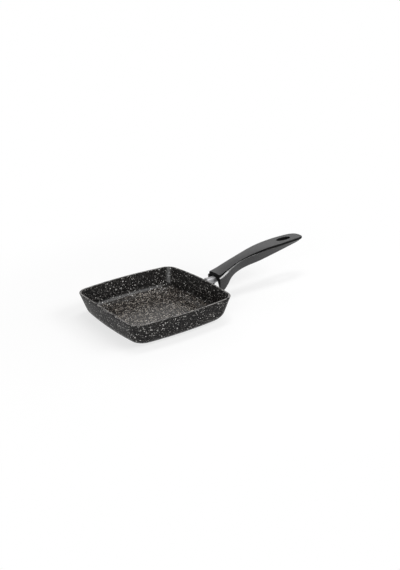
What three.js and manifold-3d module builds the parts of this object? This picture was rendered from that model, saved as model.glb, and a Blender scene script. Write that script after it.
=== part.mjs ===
// Square frying pan with a two-part moulded handle on a metal bracket.
// Millimetres, +Z up. The origin is the centre of the base's underside, and the handle runs along +X.

import * as THREE from 'three';
import { mergeVertices } from 'three/addons/utils/BufferGeometryUtils.js';
import Module from 'manifold-3d';

const wasm = await Module();
wasm.setup();

// Clearances
const FIT_GAP = 0.3; // between pieces that seat on or in each other
const OVERRUN = 4; // how far a cutting solid runs past the faces it cuts

// Pan
const PAN_WIDTH = 150; // across the rim, between the middles of two sides
const PAN_HEIGHT = 32;
const WALL_DRAFT = THREE.MathUtils.degToRad(17.3); // slope of the walls from upright
const SIDE_BOW_RADIUS = 430; // the sides swell slightly in plan
const CORNER_RADIUS = 16; // in plan, at the rim
const CORNER_TIGHTENING = 0.1; // corner radius lost for each millimetre inside the rim
const FRONT_STRAIGHTENING = 1; // share of its bow that the side opposite the handle loses at the rim
const BASE_EDGE_RADIUS = 16.5; // outer arc between wall and base
const WALL_THICKNESS = 2.4;
const FLOOR_THICKNESS = 3.4;
const RIM_ROUND = 0.7; // radius of the rim's two edges

// Induction plate, pressed into the base over a grid of aluminium pips
const PLATE_WIDTH = 92;
const PLATE_THICKNESS = 0.8;
const PIP_DIAMETER = 5;
const PIP_PITCH = 14;
const PIP_MARGIN = 6; // least distance from a pip's centre to the plate's edge

// Boss on the wall, and the bracket's stem with its tongue
const STEM_BELOW_RIM = 4.7; // the stem's axis under the rim
const STEM_WIDTH = 8; // across the flats of the rounded bar
const STEM_SQUARENESS = 4; // exponent of the bar's rounded section, 2 being a circle
const SPIGOT_DIAMETER = 3.4;
const SPIGOT_LENGTH = 2.6;
const BOSS_WIDTH = 20;
const BOSS_RISE = 2.8; // above the stem's axis
const BOSS_DROP = 13; // below the stem's axis
const BOSS_THICKNESS = 3.6; // at the stem's axis
const BOSS_CORNER = 3.5;
const TONGUE_WIDTH = 11.5;
const TONGUE_THICKNESS = 4;
const TONGUE_SQUARENESS = 6; // exponent of the tongue's rounded section, 2 being an ellipse
const TONGUE_DEPTH = 5.2; // the tongue's axis under the seam's edge
const BEND_ALONG = 2; // places along the handle are counted from its front
const BEND_REACH = 3; // half the length of the bend
const FLATTENING_LENGTH = 6; // over which the round stem becomes the flat tongue
const TONGUE_START_ALONG = 18;
const TONGUE_END_ALONG = 41;

// Handle
const HANDLE_GAP = 16; // from the rim to the handle's front
const HANDLE_LENGTH = 147;
const BODY_SETBACK = 1.5; // the body stops this far short of the cover's tip
const TIP_LENGTH = 17; // over which the plan rounds off at the tip
const TIP_BLUNTNESS = 3; // exponent of that rounding, 2 being an ellipse
const SEAM_CROWN = 0.8; // rise of the seam's middle
const COVER_EDGE_ROUND = 0.8;
const LEDGE_SLOPE = THREE.MathUtils.degToRad(29); // fall of the body's upper edge outside the cover
const LEDGE_LEAST = 0.4; // least width of that edge
const LEG_WALL = 2; // at the foot; the arch thickens it upwards
const ARCH_ROOF = 1.5; // body left over the arch
const ARCH_RISE = 17; // height of the arch's round part
const ARCH_LENGTH = 22;
const HANG_HOLE_ALONG = 117.2;
const HANG_HOLE_LENGTH = 22.6;
const HANG_HOLE_WIDTH = 9.6;

// Handle sections, front to tip. Heights are counted from the rim, widths are halves.
//   top: edge of the upper face, crown: rise of its middle, edge: thickness of the cover at its edge,
//   cover: half width of the cover, body and foot: half width of the body at the seam and at its bottom,
//   low: the body's bottom, round: radius of the body's bottom edges
const SECTIONS = [
  { along: 0, top: 3.1, crown: 1, edge: 3.3, cover: 11.3, body: 13.4, foot: 13.4, low: -18.5, round: 1.2 },
  { along: 6, top: 4.5, crown: 1, edge: 2.5, cover: 10.8, body: 13.1, foot: 13.1, low: -18.2, round: 1.2 },
  { along: 13, top: 6.7, crown: 1, edge: 1.5, cover: 9.9, body: 12.4, foot: 12.2, low: -13.0, round: 1.6 },
  { along: 21, top: 9.5, crown: 1, edge: 1.1, cover: 9.2, body: 11.1, foot: 10.6, low: -5.2, round: 2.2 },
  { along: 37, top: 14.4, crown: 1, edge: 1.0, cover: 8.5, body: 9.2, foot: 8.2, low: 0.2, round: 3.4 },
  { along: 73, top: 21.7, crown: 0.6, edge: 2.3, cover: 11.0, body: 11.6, foot: 9.4, low: 5.8, round: 4.2 },
  { along: 105, top: 23.9, crown: 0.1, edge: 3.0, cover: 13.0, body: 12.0, foot: 10.2, low: 12.2, round: 3.4 },
  { along: 131, top: 24.5, crown: 0, edge: 3.1, cover: 11.9, body: 10.2, foot: 8.8, low: 17.0, round: 1.6 },
  {
    along: HANDLE_LENGTH, top: 24.2, crown: 0, edge: 3.3, cover: 11.0, body: 9.2, foot: 8.2, low: 19.7, round: 0.8,
  },
];

// Screws that hold the body to the tongue
const BRACKET_SCREW = { shank: 4, head: 7.5, headHeight: 2.2, lip: 0.2, web: 0.5 };
const BRACKET_SCREW_FROM_END = 6; // rear screw, from the tongue's end
const BRACKET_SCREW_SPACING = 11;

// Screws that hold the cover to the body, and the inserts that they turn into
const COVER_SCREW = { shank: 3, head: 5.6, headHeight: 2, bevel: 0.5, web: 1.5 };
const COVER_SCREW_PLACES = { front: 58, rear: 84 };
const COVER_BOSS = { diameter: 9, length: 5 };
const COVER_INSERT = { diameter: 5, length: 4 };
const CROSS_SLOT = { length: 3.2, width: 0.8, depth: 1.1 }; // cross recess of every screw

// Facet counts
const SIDE_STEPS = 6;
const CORNER_STEPS = 8;
const EDGE_STEPS = 6;
const RIM_STEPS = 2;
const ROUND_STEPS = 20;
const PIP_STEPS = 10;
const SECTION_STEPS = 5;
const LEG_STEP = 2.5; // spacing of the handle's sections over its front
const LEG_REACH = 25;
const GRIP_STEP = 7; // spacing of the sections behind that
const TIP_STEPS = 6;

// Finishes
const coatedAluminium = new THREE.MeshStandardMaterial({ color: 0x24211f, roughness: 0.5, metalness: 0.1 });
const plainSteel = new THREE.MeshStandardMaterial({ color: 0xa9abad, roughness: 0.35, metalness: 1 });
const castAluminium = new THREE.MeshStandardMaterial({ color: 0xb8babc, roughness: 0.45, metalness: 1 });
const brass = new THREE.MeshStandardMaterial({ color: 0xb58b3e, roughness: 0.4, metalness: 1 });
const blackPlastic = new THREE.MeshStandardMaterial({ color: 0x232323, roughness: 0.5, metalness: 0 });
const greyPlastic = new THREE.MeshStandardMaterial({ color: 0x2b2b2b, roughness: 0.42, metalness: 0 });

// Places that several pieces share
const panHalf = PAN_WIDTH / 2;
const handleFront = panHalf + HANDLE_GAP;
const stemHeight = PAN_HEIGHT - STEM_BELOW_RIM;
const wallAtStem = panHalf - (STEM_BELOW_RIM - RIM_ROUND) * Math.tan(WALL_DRAFT);
const bossFace = wallAtStem + FIT_GAP + BOSS_THICKNESS;
const bodyLength = HANDLE_LENGTH - BODY_SETBACK;

// Solids

// Closed geometry from points and triangles, with its faces turned outwards.
function shell(points, triangles) {
  let volume = 0;
  for (const [a, b, c] of triangles) {
    volume += points[a].dot(new THREE.Vector3().crossVectors(points[b], points[c]));
  }
  const turned = volume < 0 ? triangles.map(([a, b, c]) => [a, c, b]) : triangles;
  const geometry = new THREE.BufferGeometry().setFromPoints(points);
  geometry.setIndex(turned.flat());
  return geometry;
}

// Triangles that close a flat ring of points, turning the same way as the ring.
function capTriangles(ring) {
  const normal = new THREE.Vector3();
  for (let k = 1; k + 1 < ring.length; k += 1) {
    const edge = ring[k].clone().sub(ring[0]);
    normal.add(edge.cross(ring[k + 1].clone().sub(ring[0])));
  }
  const flat = new THREE.Quaternion().setFromUnitVectors(normal.normalize(), new THREE.Vector3(0, 0, 1));
  const contour = ring.map((point) => {
    const turned = point.clone().applyQuaternion(flat);
    return new THREE.Vector2(turned.x, turned.y);
  });
  const faces = THREE.ShapeUtils.triangulateShape(contour, []);
  const first = faces[0].map((k) => contour[k]);
  return THREE.ShapeUtils.area(first) < 0 ? faces.map(([a, b, c]) => [a, c, b]) : faces;
}

// Solid through a row of rings that have the same number of points, with flat ends.
function loft(rings) {
  const count = rings[0].length;
  const triangles = [];
  for (let r = 0; r + 1 < rings.length; r += 1) {
    for (let k = 0; k < count; k += 1) {
      const a = r * count + k;
      const b = r * count + ((k + 1) % count);
      triangles.push([a, b, b + count], [a, b + count, a + count]);
    }
  }
  const last = (rings.length - 1) * count;
  for (const [a, b, c] of capTriangles(rings[0])) triangles.push([a, c, b]);
  for (const [a, b, c] of capTriangles(rings.at(-1))) triangles.push([a + last, b + last, c + last]);
  return shell(rings.flat(), triangles);
}

// Boolean solid of a closed geometry.
function solid(geometry) {
  const bare = geometry.clone();
  bare.deleteAttribute('normal');
  bare.deleteAttribute('uv');
  const merged = mergeVertices(bare);
  const vertProperties = new Float32Array(merged.attributes.position.array);
  const triVerts = new Uint32Array(merged.index.array);
  return new wasm.Manifold(new wasm.Mesh({ numProp: 3, vertProperties, triVerts }));
}

// Named mesh of a boolean solid.
function piece(name, body, material) {
  const { vertProperties, triVerts } = body.getMesh();
  const geometry = new THREE.BufferGeometry();
  geometry.setAttribute('position', new THREE.BufferAttribute(new Float32Array(vertProperties), 3));
  geometry.setIndex(new THREE.BufferAttribute(new Uint32Array(triVerts), 1));
  geometry.computeVertexNormals();
  const mesh = new THREE.Mesh(geometry, material);
  mesh.name = name;
  return mesh;
}

// Upright round bar between two heights.
function rod(diameter, low, high, steps = ROUND_STEPS) {
  const geometry = new THREE.CylinderGeometry(diameter / 2, diameter / 2, high - low, steps);
  return geometry.rotateX(Math.PI / 2).translate(0, 0, (low + high) / 2);
}

// Round bar along X between two places, at the stem's height.
function stemRod(diameter, from, to) {
  const geometry = new THREE.CylinderGeometry(diameter / 2, diameter / 2, to - from, ROUND_STEPS);
  return geometry.rotateZ(Math.PI / 2).translate((from + to) / 2, 0, stemHeight);
}

// Pan

// Plan outline of the pan at a half width: four bowed sides joined by tangent corner arcs. The front side,
// opposite the handle, straightens towards the rim.
function panRing(half, z) {
  const corner = CORNER_RADIUS - CORNER_TIGHTENING * (panHalf - half);
  const back = SIDE_BOW_RADIUS - half;
  const reach = SIDE_BOW_RADIUS - corner;
  const centre = (Math.sqrt(2 * reach ** 2 - back ** 2) - back) / 2;
  const bow = Math.atan2(centre, centre + back);
  const straightFront = -(centre + corner);
  const straightened = (FRONT_STRAIGHTENING * z) / PAN_HEIGHT;
  const quarter = new THREE.Path();
  quarter.absarc(-back, 0, SIDE_BOW_RADIUS, -bow, bow, false);
  const points = quarter.curves[0].getPoints(SIDE_STEPS).slice(0, -1);
  const turn = new THREE.Path();
  turn.absarc(centre, centre, corner, bow, Math.PI / 2 - bow, false);
  points.push(...turn.curves[0].getPoints(CORNER_STEPS).slice(0, -1));
  const ring = [];
  for (let side = 0; side < 4; side += 1) {
    for (const point of points) {
      const turned = point.clone().rotateAround(new THREE.Vector2(), (side * Math.PI) / 2);
      const bowed = Math.min(0, turned.x - straightFront);
      ring.push(new THREE.Vector3(turned.x - bowed * straightened, turned.y, z));
    }
  }
  return ring;
}

// Arc, as half widths and heights, that joins a level face to a wall sloping up to the rim's rounding.
function footArc(rimHalf, level, radius) {
  const rise = PAN_HEIGHT - RIM_ROUND - level - radius;
  const centre = rimHalf - (radius + rise * Math.sin(WALL_DRAFT)) / Math.cos(WALL_DRAFT);
  const arc = new THREE.Path();
  arc.absarc(centre, level + radius, radius, -Math.PI / 2, -WALL_DRAFT, false);
  return arc.curves[0].getPoints(EDGE_STEPS);
}

// Arc from the end of a wall to the rim's flat top, on the outer or the inner edge.
function rimArc(rimHalf, isOuter) {
  const centre = isOuter ? rimHalf - RIM_ROUND : rimHalf + RIM_ROUND;
  const arc = new THREE.Path();
  arc.absarc(centre, PAN_HEIGHT - RIM_ROUND, RIM_ROUND, isOuter ? 0 : Math.PI, Math.PI / 2, !isOuter);
  return arc.curves[0].getPoints(RIM_STEPS);
}

// Outer profile from the flat base up to the rim's flat top.
function outerProfile() {
  return [...footArc(panHalf, 0, BASE_EDGE_RADIUS), ...rimArc(panHalf, true)];
}

// Inner profile from the flat floor up to the rim's flat top.
function innerProfile() {
  const rimHalf = panHalf - WALL_THICKNESS / Math.cos(WALL_DRAFT);
  const foot = footArc(rimHalf, FLOOR_THICKNESS, BASE_EDGE_RADIUS - WALL_THICKNESS);
  return [...foot, ...rimArc(rimHalf, false)];
}

// Centres of the pips, on a square grid that leaves the base's centre free.
function pipPlaces() {
  const count = Math.floor((PLATE_WIDTH / 2 - PIP_MARGIN) / PIP_PITCH + 0.5);
  const places = [];
  for (let row = -count; row < count; row += 1) {
    for (let column = -count; column < count; column += 1) {
      places.push([(column + 0.5) * PIP_PITCH, (row + 0.5) * PIP_PITCH]);
    }
  }
  return places;
}

function panBody() {
  const recessHalf = PLATE_WIDTH / 2 + FIT_GAP;
  const recessDepth = PLATE_THICKNESS + FIT_GAP;
  const profile = [
    new THREE.Vector2(recessHalf, recessDepth),
    new THREE.Vector2(recessHalf, 0),
    ...outerProfile(),
    ...innerProfile().reverse(),
  ];
  let body = solid(loft(profile.map((point) => panRing(point.x, point.y))));
  for (const [x, y] of pipPlaces()) {
    body = body.add(solid(rod(PIP_DIAMETER, 0, recessDepth + FIT_GAP, PIP_STEPS).translate(x, y, 0)));
  }
  return piece('pan_body', body, coatedAluminium);
}

function inductionPlate() {
  const half = PLATE_WIDTH / 2;
  let plate = solid(loft([panRing(half, 0), panRing(half, PLATE_THICKNESS)]));
  for (const [x, y] of pipPlaces()) {
    const hole = rod(PIP_DIAMETER + 2 * FIT_GAP, -OVERRUN, OVERRUN, PIP_STEPS);
    plate = plate.subtract(solid(hole.translate(x, y, 0)));
  }
  return piece('induction_plate', plate, plainSteel);
}

// Boss and bracket

function wallBoss() {
  const low = stemHeight - BOSS_DROP;
  const high = stemHeight + BOSS_RISE;
  const half = BOSS_WIDTH / 2;
  const face = new THREE.Shape();
  face.moveTo(-half + BOSS_CORNER, low);
  face.lineTo(half - BOSS_CORNER, low);
  face.absarc(half - BOSS_CORNER, low + BOSS_CORNER, BOSS_CORNER, -Math.PI / 2, 0, false);
  face.absarc(half - BOSS_CORNER, high - BOSS_CORNER, BOSS_CORNER, 0, Math.PI / 2, false);
  face.absarc(-half + BOSS_CORNER, high - BOSS_CORNER, BOSS_CORNER, Math.PI / 2, Math.PI, false);
  face.absarc(-half + BOSS_CORNER, low + BOSS_CORNER, BOSS_CORNER, Math.PI, Math.PI * 1.5, false);
  const start = wallAtStem - (BOSS_DROP + OVERRUN) * Math.tan(WALL_DRAFT) - OVERRUN;
  const block = new THREE.ExtrudeGeometry(face, {
    depth: bossFace - start, bevelEnabled: false, curveSegments: EDGE_STEPS,
  });
  const upright = new THREE.Matrix4().makeBasis(
    new THREE.Vector3(0, 1, 0), new THREE.Vector3(0, 0, 1), new THREE.Vector3(1, 0, 0),
  );
  block.applyMatrix4(upright).translate(start, 0, 0);
  const wall = outerProfile().map((point) => panRing(point.x + FIT_GAP, point.y));
  const socket = stemRod(SPIGOT_DIAMETER + 2 * FIT_GAP, bossFace - SPIGOT_LENGTH, bossFace + OVERRUN);
  const body = solid(block).subtract(solid(loft(wall))).subtract(solid(socket));
  return piece('wall_boss', body, castAluminium);
}

// Smooth curve through one field of the handle's sections.
function along(field) {
  const places = SECTIONS.map((section) => section.along);
  const values = SECTIONS.map((section) => section[field]);
  const curve = new THREE.CubicInterpolant(places, values, 1, [0]);
  return (place) => curve.evaluate(place)[0];
}

const topRise = along('top');
const topCrown = along('crown');
const edgeThickness = along('edge');
const coverHalf = along('cover');
const bodyHalf = along('body');
const footHalf = along('foot');
const bodyLow = along('low');
const footRound = along('round');

// Height of the handle's upper face, and of the seam between cover and body, at a place and a distance aside.
function topHeight(place, y) {
  return PAN_HEIGHT + topRise(place) + topCrown(place) * (1 - (y / coverHalf(place)) ** 2);
}

function seamHeight(place, y) {
  const edge = PAN_HEIGHT + topRise(place) - edgeThickness(place);
  return edge + SEAM_CROWN * (1 - (y / coverHalf(place)) ** 2);
}

// Axis of the tongue: where it starts, where it ends and its tilt.
function tongueAxis() {
  const height = (place) => PAN_HEIGHT + topRise(place) - edgeThickness(place) - TONGUE_DEPTH;
  const start = new THREE.Vector2(handleFront + TONGUE_START_ALONG, height(TONGUE_START_ALONG));
  const end = new THREE.Vector2(handleFront + TONGUE_END_ALONG, height(TONGUE_END_ALONG));
  const run = end.clone().sub(start);
  return { start, end, tilt: run.angle(), length: run.length() };
}

const tongue = tongueAxis();

// Places a geometry that was drawn from the tongue's start, along X, with Z square to the tongue.
function onTongue(geometry) {
  return geometry.rotateY(-tongue.tilt).translate(tongue.start.x, 0, tongue.start.y);
}

// Ring across the stem: round where flatness is 0, the tongue's section where it is 1.
function stemRing(centre, tilt, flatness, grow) {
  const halfWidth = THREE.MathUtils.lerp(STEM_WIDTH, TONGUE_WIDTH, flatness) / 2 + grow;
  const halfThick = THREE.MathUtils.lerp(STEM_WIDTH, TONGUE_THICKNESS, flatness) / 2 + grow;
  const power = 2 / THREE.MathUtils.lerp(STEM_SQUARENESS, TONGUE_SQUARENESS, flatness);
  const ring = [];
  for (let k = 0; k < ROUND_STEPS; k += 1) {
    const angle = (2 * Math.PI * k) / ROUND_STEPS;
    const aside = halfWidth * Math.sign(Math.cos(angle)) * Math.abs(Math.cos(angle)) ** power;
    const up = halfThick * Math.sign(Math.sin(angle)) * Math.abs(Math.sin(angle)) ** power;
    ring.push(new THREE.Vector3(centre.x - up * Math.sin(tilt), aside, centre.y + up * Math.cos(tilt)));
  }
  return ring;
}

// Stem and tongue as one bar, grown all round by a clearance.
function stemLoft(grow) {
  const bend = new THREE.Vector2(handleFront + BEND_ALONG, stemHeight);
  const riser = tongue.start.clone().sub(bend);
  const lean = riser.angle();
  const step = riser.clone().normalize();
  const afterBend = bend.clone().addScaledVector(step, BEND_REACH);
  const beforeTongue = tongue.start.clone().addScaledVector(step, -FLATTENING_LENGTH);
  const tip = tongue.end.clone().addScaledVector(tongue.end.clone().sub(tongue.start).normalize(), grow);
  return loft([
    stemRing(new THREE.Vector2(bossFace + FIT_GAP, stemHeight), 0, 0, grow),
    stemRing(new THREE.Vector2(bend.x - BEND_REACH, stemHeight), 0, 0, grow),
    stemRing(bend, lean / 2, 0, grow),
    stemRing(afterBend, lean, 0, grow),
    stemRing(beforeTongue, lean, 0, grow),
    stemRing(tongue.start, (lean + tongue.tilt) / 2, 1, grow),
    stemRing(tip, tongue.tilt, 1, grow),
  ]);
}

const bracketScrewPlaces = {
  front: tongue.length - BRACKET_SCREW_FROM_END - BRACKET_SCREW_SPACING,
  rear: tongue.length - BRACKET_SCREW_FROM_END,
};
const bracketHeadFoot = TONGUE_THICKNESS / 2 + FIT_GAP + BRACKET_SCREW.web; // where the head's cone ends

function bracketStem() {
  const spigot = stemRod(SPIGOT_DIAMETER, bossFace - SPIGOT_LENGTH + FIT_GAP, bossFace + OVERRUN);
  let stem = solid(stemLoft(0)).add(solid(spigot));
  for (const place of Object.values(bracketScrewPlaces)) {
    const hole = rod(BRACKET_SCREW.shank + 2 * FIT_GAP, -OVERRUN, OVERRUN);
    stem = stem.subtract(solid(onTongue(hole.translate(place, 0, 0))));
  }
  return piece('bracket_stem', stem, plainSteel);
}

// Handle

// How much of its half width the plan keeps near the tip.
function tipShare(place, end) {
  const inTip = Math.max(0, place - (end - TIP_LENGTH)) / TIP_LENGTH;
  return (1 - inTip ** TIP_BLUNTNESS) ** (1 / TIP_BLUNTNESS);
}

// Places of the handle's sections, closer together over the legs and at the tip.
function sectionPlaces(end) {
  const places = [];
  for (let place = 0; place < LEG_REACH; place += LEG_STEP) places.push(place);
  const grip = end - TIP_LENGTH - LEG_REACH;
  const steps = Math.ceil(grip / GRIP_STEP);
  for (let k = 0; k < steps; k += 1) places.push(LEG_REACH + (grip * k) / steps);
  for (let k = 0; k < TIP_STEPS; k += 1) {
    places.push(end - TIP_LENGTH + TIP_LENGTH * Math.sin((k / TIP_STEPS) * (Math.PI / 2)));
  }
  return places;
}

// Ring across the handle from the right half of its outline, given as [aside, height] from the middle of
// the upper face round to the middle of the lower one.
function mirroredRing(place, half) {
  const x = handleFront + place;
  const left = half.slice(1, -1).reverse();
  return [
    ...half.map(([y, z]) => new THREE.Vector3(x, y, z)),
    ...left.map(([y, z]) => new THREE.Vector3(x, -y, z)),
  ];
}

function coverRing(place) {
  const half = coverHalf(place) * tipShare(place, HANDLE_LENGTH);
  const round = Math.min(COVER_EDGE_ROUND, edgeThickness(place) / 3);
  const outline = [];
  for (let k = 0; k <= SECTION_STEPS; k += 1) {
    const y = ((half - round) * k) / SECTION_STEPS;
    outline.push([y, topHeight(place, y)]);
  }
  outline.push([half, topHeight(place, half) - round]);
  for (let k = SECTION_STEPS; k >= 0; k -= 1) {
    const y = (half * k) / SECTION_STEPS;
    outline.push([y, seamHeight(place, y) + FIT_GAP / 2]);
  }
  return mirroredRing(place, outline);
}

function bodyRing(place) {
  const share = tipShare(place, bodyLength);
  const half = bodyHalf(place) * share;
  const foot = footHalf(place) * share;
  const low = PAN_HEIGHT + bodyLow(place);
  const ledge = Math.max(half - coverHalf(place), Math.min(LEDGE_LEAST, half / 2));
  const seat = half - ledge;
  const edge = seamHeight(place, seat) - FIT_GAP / 2 - ledge * Math.tan(LEDGE_SLOPE);
  const round = Math.min(footRound(place), (edge - low) / 2, foot / 2);
  const outline = [];
  for (let k = 0; k <= SECTION_STEPS; k += 1) {
    const y = (seat * k) / SECTION_STEPS;
    outline.push([y, seamHeight(place, y) - FIT_GAP / 2]);
  }
  outline.push([half, edge]);
  for (let k = 0; k <= SECTION_STEPS; k += 1) {
    const angle = ((k / SECTION_STEPS) * Math.PI) / 2;
    outline.push([foot - round + round * Math.cos(angle), low + round - round * Math.sin(angle)]);
  }
  outline.push([0, low]);
  return mirroredRing(place, outline);
}

// Space between the legs, open below: round on top, drawn in as the body narrows.
function archLoft() {
  const floor = PAN_HEIGHT + Math.min(...SECTIONS.map((section) => section.low)) - OVERRUN;
  const rings = [];
  for (let k = -1; k <= SECTION_STEPS; k += 1) {
    const place = (ARCH_LENGTH * k) / SECTION_STEPS;
    const within = Math.max(place, 0);
    const half = bodyHalf(within) - LEG_WALL;
    const roof = seamHeight(within, 0) - FIT_GAP / 2 - ARCH_ROOF;
    const outline = [];
    for (let j = 0; j <= SECTION_STEPS; j += 1) {
      const angle = ((j / SECTION_STEPS) * Math.PI) / 2;
      outline.push([half * Math.sin(angle), roof - ARCH_RISE + ARCH_RISE * Math.cos(angle)]);
    }
    outline.push([half, floor], [0, floor]);
    rings.push(mirroredRing(place, outline));
  }
  return loft(rings);
}

function hangHole() {
  const outline = new THREE.Shape();
  outline.absellipse(0, 0, HANG_HOLE_LENGTH / 2, HANG_HOLE_WIDTH / 2, 0, 2 * Math.PI, false);
  const depth = topHeight(HANG_HOLE_ALONG, 0) + OVERRUN;
  const cut = new THREE.ExtrudeGeometry(outline, {
    depth, bevelEnabled: false, curveSegments: ROUND_STEPS,
  });
  return cut.translate(handleFront + HANG_HOLE_ALONG, 0, 0);
}

// Heights of one cover screw's stack: the boss's end, the web under it and the head's seat.
function coverStack(place) {
  const bossEnd = seamHeight(place, 0) - COVER_BOSS.length;
  const pocket = bossEnd - FIT_GAP;
  return { bossEnd, pocket, seat: pocket - COVER_SCREW.web };
}

function handleBody() {
  let body = solid(loft(sectionPlaces(bodyLength).map(bodyRing)));
  body = body.subtract(solid(archLoft())).subtract(solid(stemLoft(FIT_GAP))).subtract(solid(hangHole()));
  for (const place of Object.values(bracketScrewPlaces)) {
    const cut = countersunkProfile(FIT_GAP, OVERRUN);
    body = body.subtract(solid(onTongue(latheUp(cut).translate(place, 0, bracketHeadFoot))));
  }
  for (const place of Object.values(COVER_SCREW_PLACES)) {
    const { pocket, seat } = coverStack(place);
    const x = handleFront + place;
    const top = seamHeight(place, 0) + OVERRUN;
    const bottom = PAN_HEIGHT + bodyLow(place) - OVERRUN;
    const cuts = [
      rod(COVER_BOSS.diameter + 2 * FIT_GAP, pocket, top),
      rod(COVER_SCREW.shank + 2 * FIT_GAP, bottom, top),
      rod(COVER_SCREW.head + 2 * FIT_GAP, bottom, seat),
    ];
    for (const cut of cuts) body = body.subtract(solid(cut.translate(x, 0, 0)));
  }
  return piece('handle_body', body, blackPlastic);
}

function handleCover() {
  let cover = solid(loft(sectionPlaces(HANDLE_LENGTH).map(coverRing)));
  for (const place of Object.values(COVER_SCREW_PLACES)) {
    const { bossEnd } = coverStack(place);
    const x = handleFront + place;
    const inside = seamHeight(place, 0) + edgeThickness(place) / 2;
    const boss = rod(COVER_BOSS.diameter, bossEnd, inside);
    const boreEnd = bossEnd + COVER_INSERT.length + FIT_GAP;
    const bore = rod(COVER_INSERT.diameter + 2 * FIT_GAP, bossEnd - OVERRUN, boreEnd);
    cover = cover.add(solid(boss.translate(x, 0, 0))).subtract(solid(bore.translate(x, 0, 0)));
  }
  return piece('handle_cover', cover.subtract(solid(hangHole())), greyPlastic);
}

// Fasteners

// Turns a profile of [radius, height] points about Z.
function latheUp(profile) {
  const points = profile.map(([radius, height]) => new THREE.Vector2(radius, height));
  return new THREE.LatheGeometry(points, ROUND_STEPS).rotateX(Math.PI / 2);
}

// Countersunk screw with its cone's foot at height 0, grown by a clearance and carried on above the head.
function countersunkProfile(grow, above) {
  const shank = BRACKET_SCREW.shank / 2 + grow;
  const head = BRACKET_SCREW.head / 2 + grow;
  const tip = -(BRACKET_SCREW.web + FIT_GAP + TONGUE_THICKNESS) + FIT_GAP;
  return [
    [0, tip], [shank, tip], [shank, 0], [head, BRACKET_SCREW.headHeight],
    [head, BRACKET_SCREW.headHeight + above], [0, BRACKET_SCREW.headHeight + above],
  ];
}

// Cross recess between two heights, to be cut from a screw's head.
function crossSlot(low, high) {
  const { length, width } = CROSS_SLOT;
  const middle = (low + high) / 2;
  const one = solid(new THREE.BoxGeometry(length, width, high - low).translate(0, 0, middle));
  const other = solid(new THREE.BoxGeometry(width, length, high - low).translate(0, 0, middle));
  return one.add(other);
}

function bracketScrew(name, place) {
  const upright = solid(latheUp(countersunkProfile(0, BRACKET_SCREW.lip)));
  const top = BRACKET_SCREW.headHeight + BRACKET_SCREW.lip;
  const recess = crossSlot(top - CROSS_SLOT.depth, top + OVERRUN);
  const mesh = piece(name, upright.subtract(recess), plainSteel);
  onTongue(mesh.geometry.translate(place, 0, bracketHeadFoot));
  return mesh;
}

function coverScrew(name, place) {
  const { bossEnd, seat } = coverStack(place);
  const { shank, head, headHeight, bevel } = COVER_SCREW;
  const under = seat - FIT_GAP;
  const bottom = under - headHeight;
  const tip = bossEnd + COVER_INSERT.length;
  const body = solid(latheUp([
    [0, bottom], [head / 2 - bevel, bottom], [head / 2, bottom + bevel], [head / 2, under],
    [shank / 2, under], [shank / 2, tip], [0, tip],
  ]));
  const recess = crossSlot(bottom - OVERRUN, bottom + CROSS_SLOT.depth);
  const mesh = piece(name, body.subtract(recess), plainSteel);
  mesh.position.x = handleFront + place;
  return mesh;
}

function coverInsert(name, place) {
  const { bossEnd } = coverStack(place);
  const end = bossEnd + COVER_INSERT.length;
  const sleeve = solid(rod(COVER_INSERT.diameter, bossEnd, end));
  const bore = solid(rod(COVER_SCREW.shank + 2 * FIT_GAP, bossEnd - OVERRUN, end + OVERRUN));
  const mesh = piece(name, sleeve.subtract(bore), brass);
  mesh.position.x = handleFront + place;
  return mesh;
}

const pan = new THREE.Group();
pan.add(panBody(), inductionPlate(), wallBoss(), bracketStem(), handleBody(), handleCover());
for (const [end, place] of Object.entries(bracketScrewPlaces)) {
  pan.add(bracketScrew(`bracket_screw_${end}`, place));
}
for (const [end, place] of Object.entries(COVER_SCREW_PLACES)) {
  pan.add(coverScrew(`cover_screw_${end}`, place), coverInsert(`cover_insert_${end}`, place));
}

export default pan;
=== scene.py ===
"""Square frying pan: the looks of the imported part, in metres, in the part's own frame.

The pan stands on z = 0 with its handle along +X. Each sub-assembly is a class that holds its sizes, builds
its meshes and dresses them, and each finish is a class that makes one procedural material.
"""

import logging
import math
from collections.abc import Callable, Sequence
from dataclasses import dataclass, field, fields
from enum import Enum
from typing import NamedTuple

import bmesh
import bpy
import numpy as np
from mathutils import Matrix, Vector


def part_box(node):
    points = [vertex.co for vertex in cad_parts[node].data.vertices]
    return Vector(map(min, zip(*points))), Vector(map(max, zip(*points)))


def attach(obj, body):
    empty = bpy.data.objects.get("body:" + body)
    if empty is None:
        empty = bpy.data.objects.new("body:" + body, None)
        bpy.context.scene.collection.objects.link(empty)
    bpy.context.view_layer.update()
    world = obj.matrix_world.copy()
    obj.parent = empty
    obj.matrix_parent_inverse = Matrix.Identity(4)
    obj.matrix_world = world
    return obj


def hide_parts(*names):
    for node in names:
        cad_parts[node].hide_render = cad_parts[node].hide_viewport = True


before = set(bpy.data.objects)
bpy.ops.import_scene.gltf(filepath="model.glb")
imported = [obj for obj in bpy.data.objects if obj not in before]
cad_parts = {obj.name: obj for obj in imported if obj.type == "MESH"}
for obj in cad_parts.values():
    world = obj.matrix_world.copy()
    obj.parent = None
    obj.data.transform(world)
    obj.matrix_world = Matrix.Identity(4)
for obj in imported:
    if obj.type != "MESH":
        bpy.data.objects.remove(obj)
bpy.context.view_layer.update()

Colour = tuple[float, float, float]
Ring = np.ndarray
Curve = Callable[[np.ndarray], np.ndarray]
Socket = bpy.types.NodeSocket
Material = bpy.types.Material
Piece = bpy.types.Object

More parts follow.
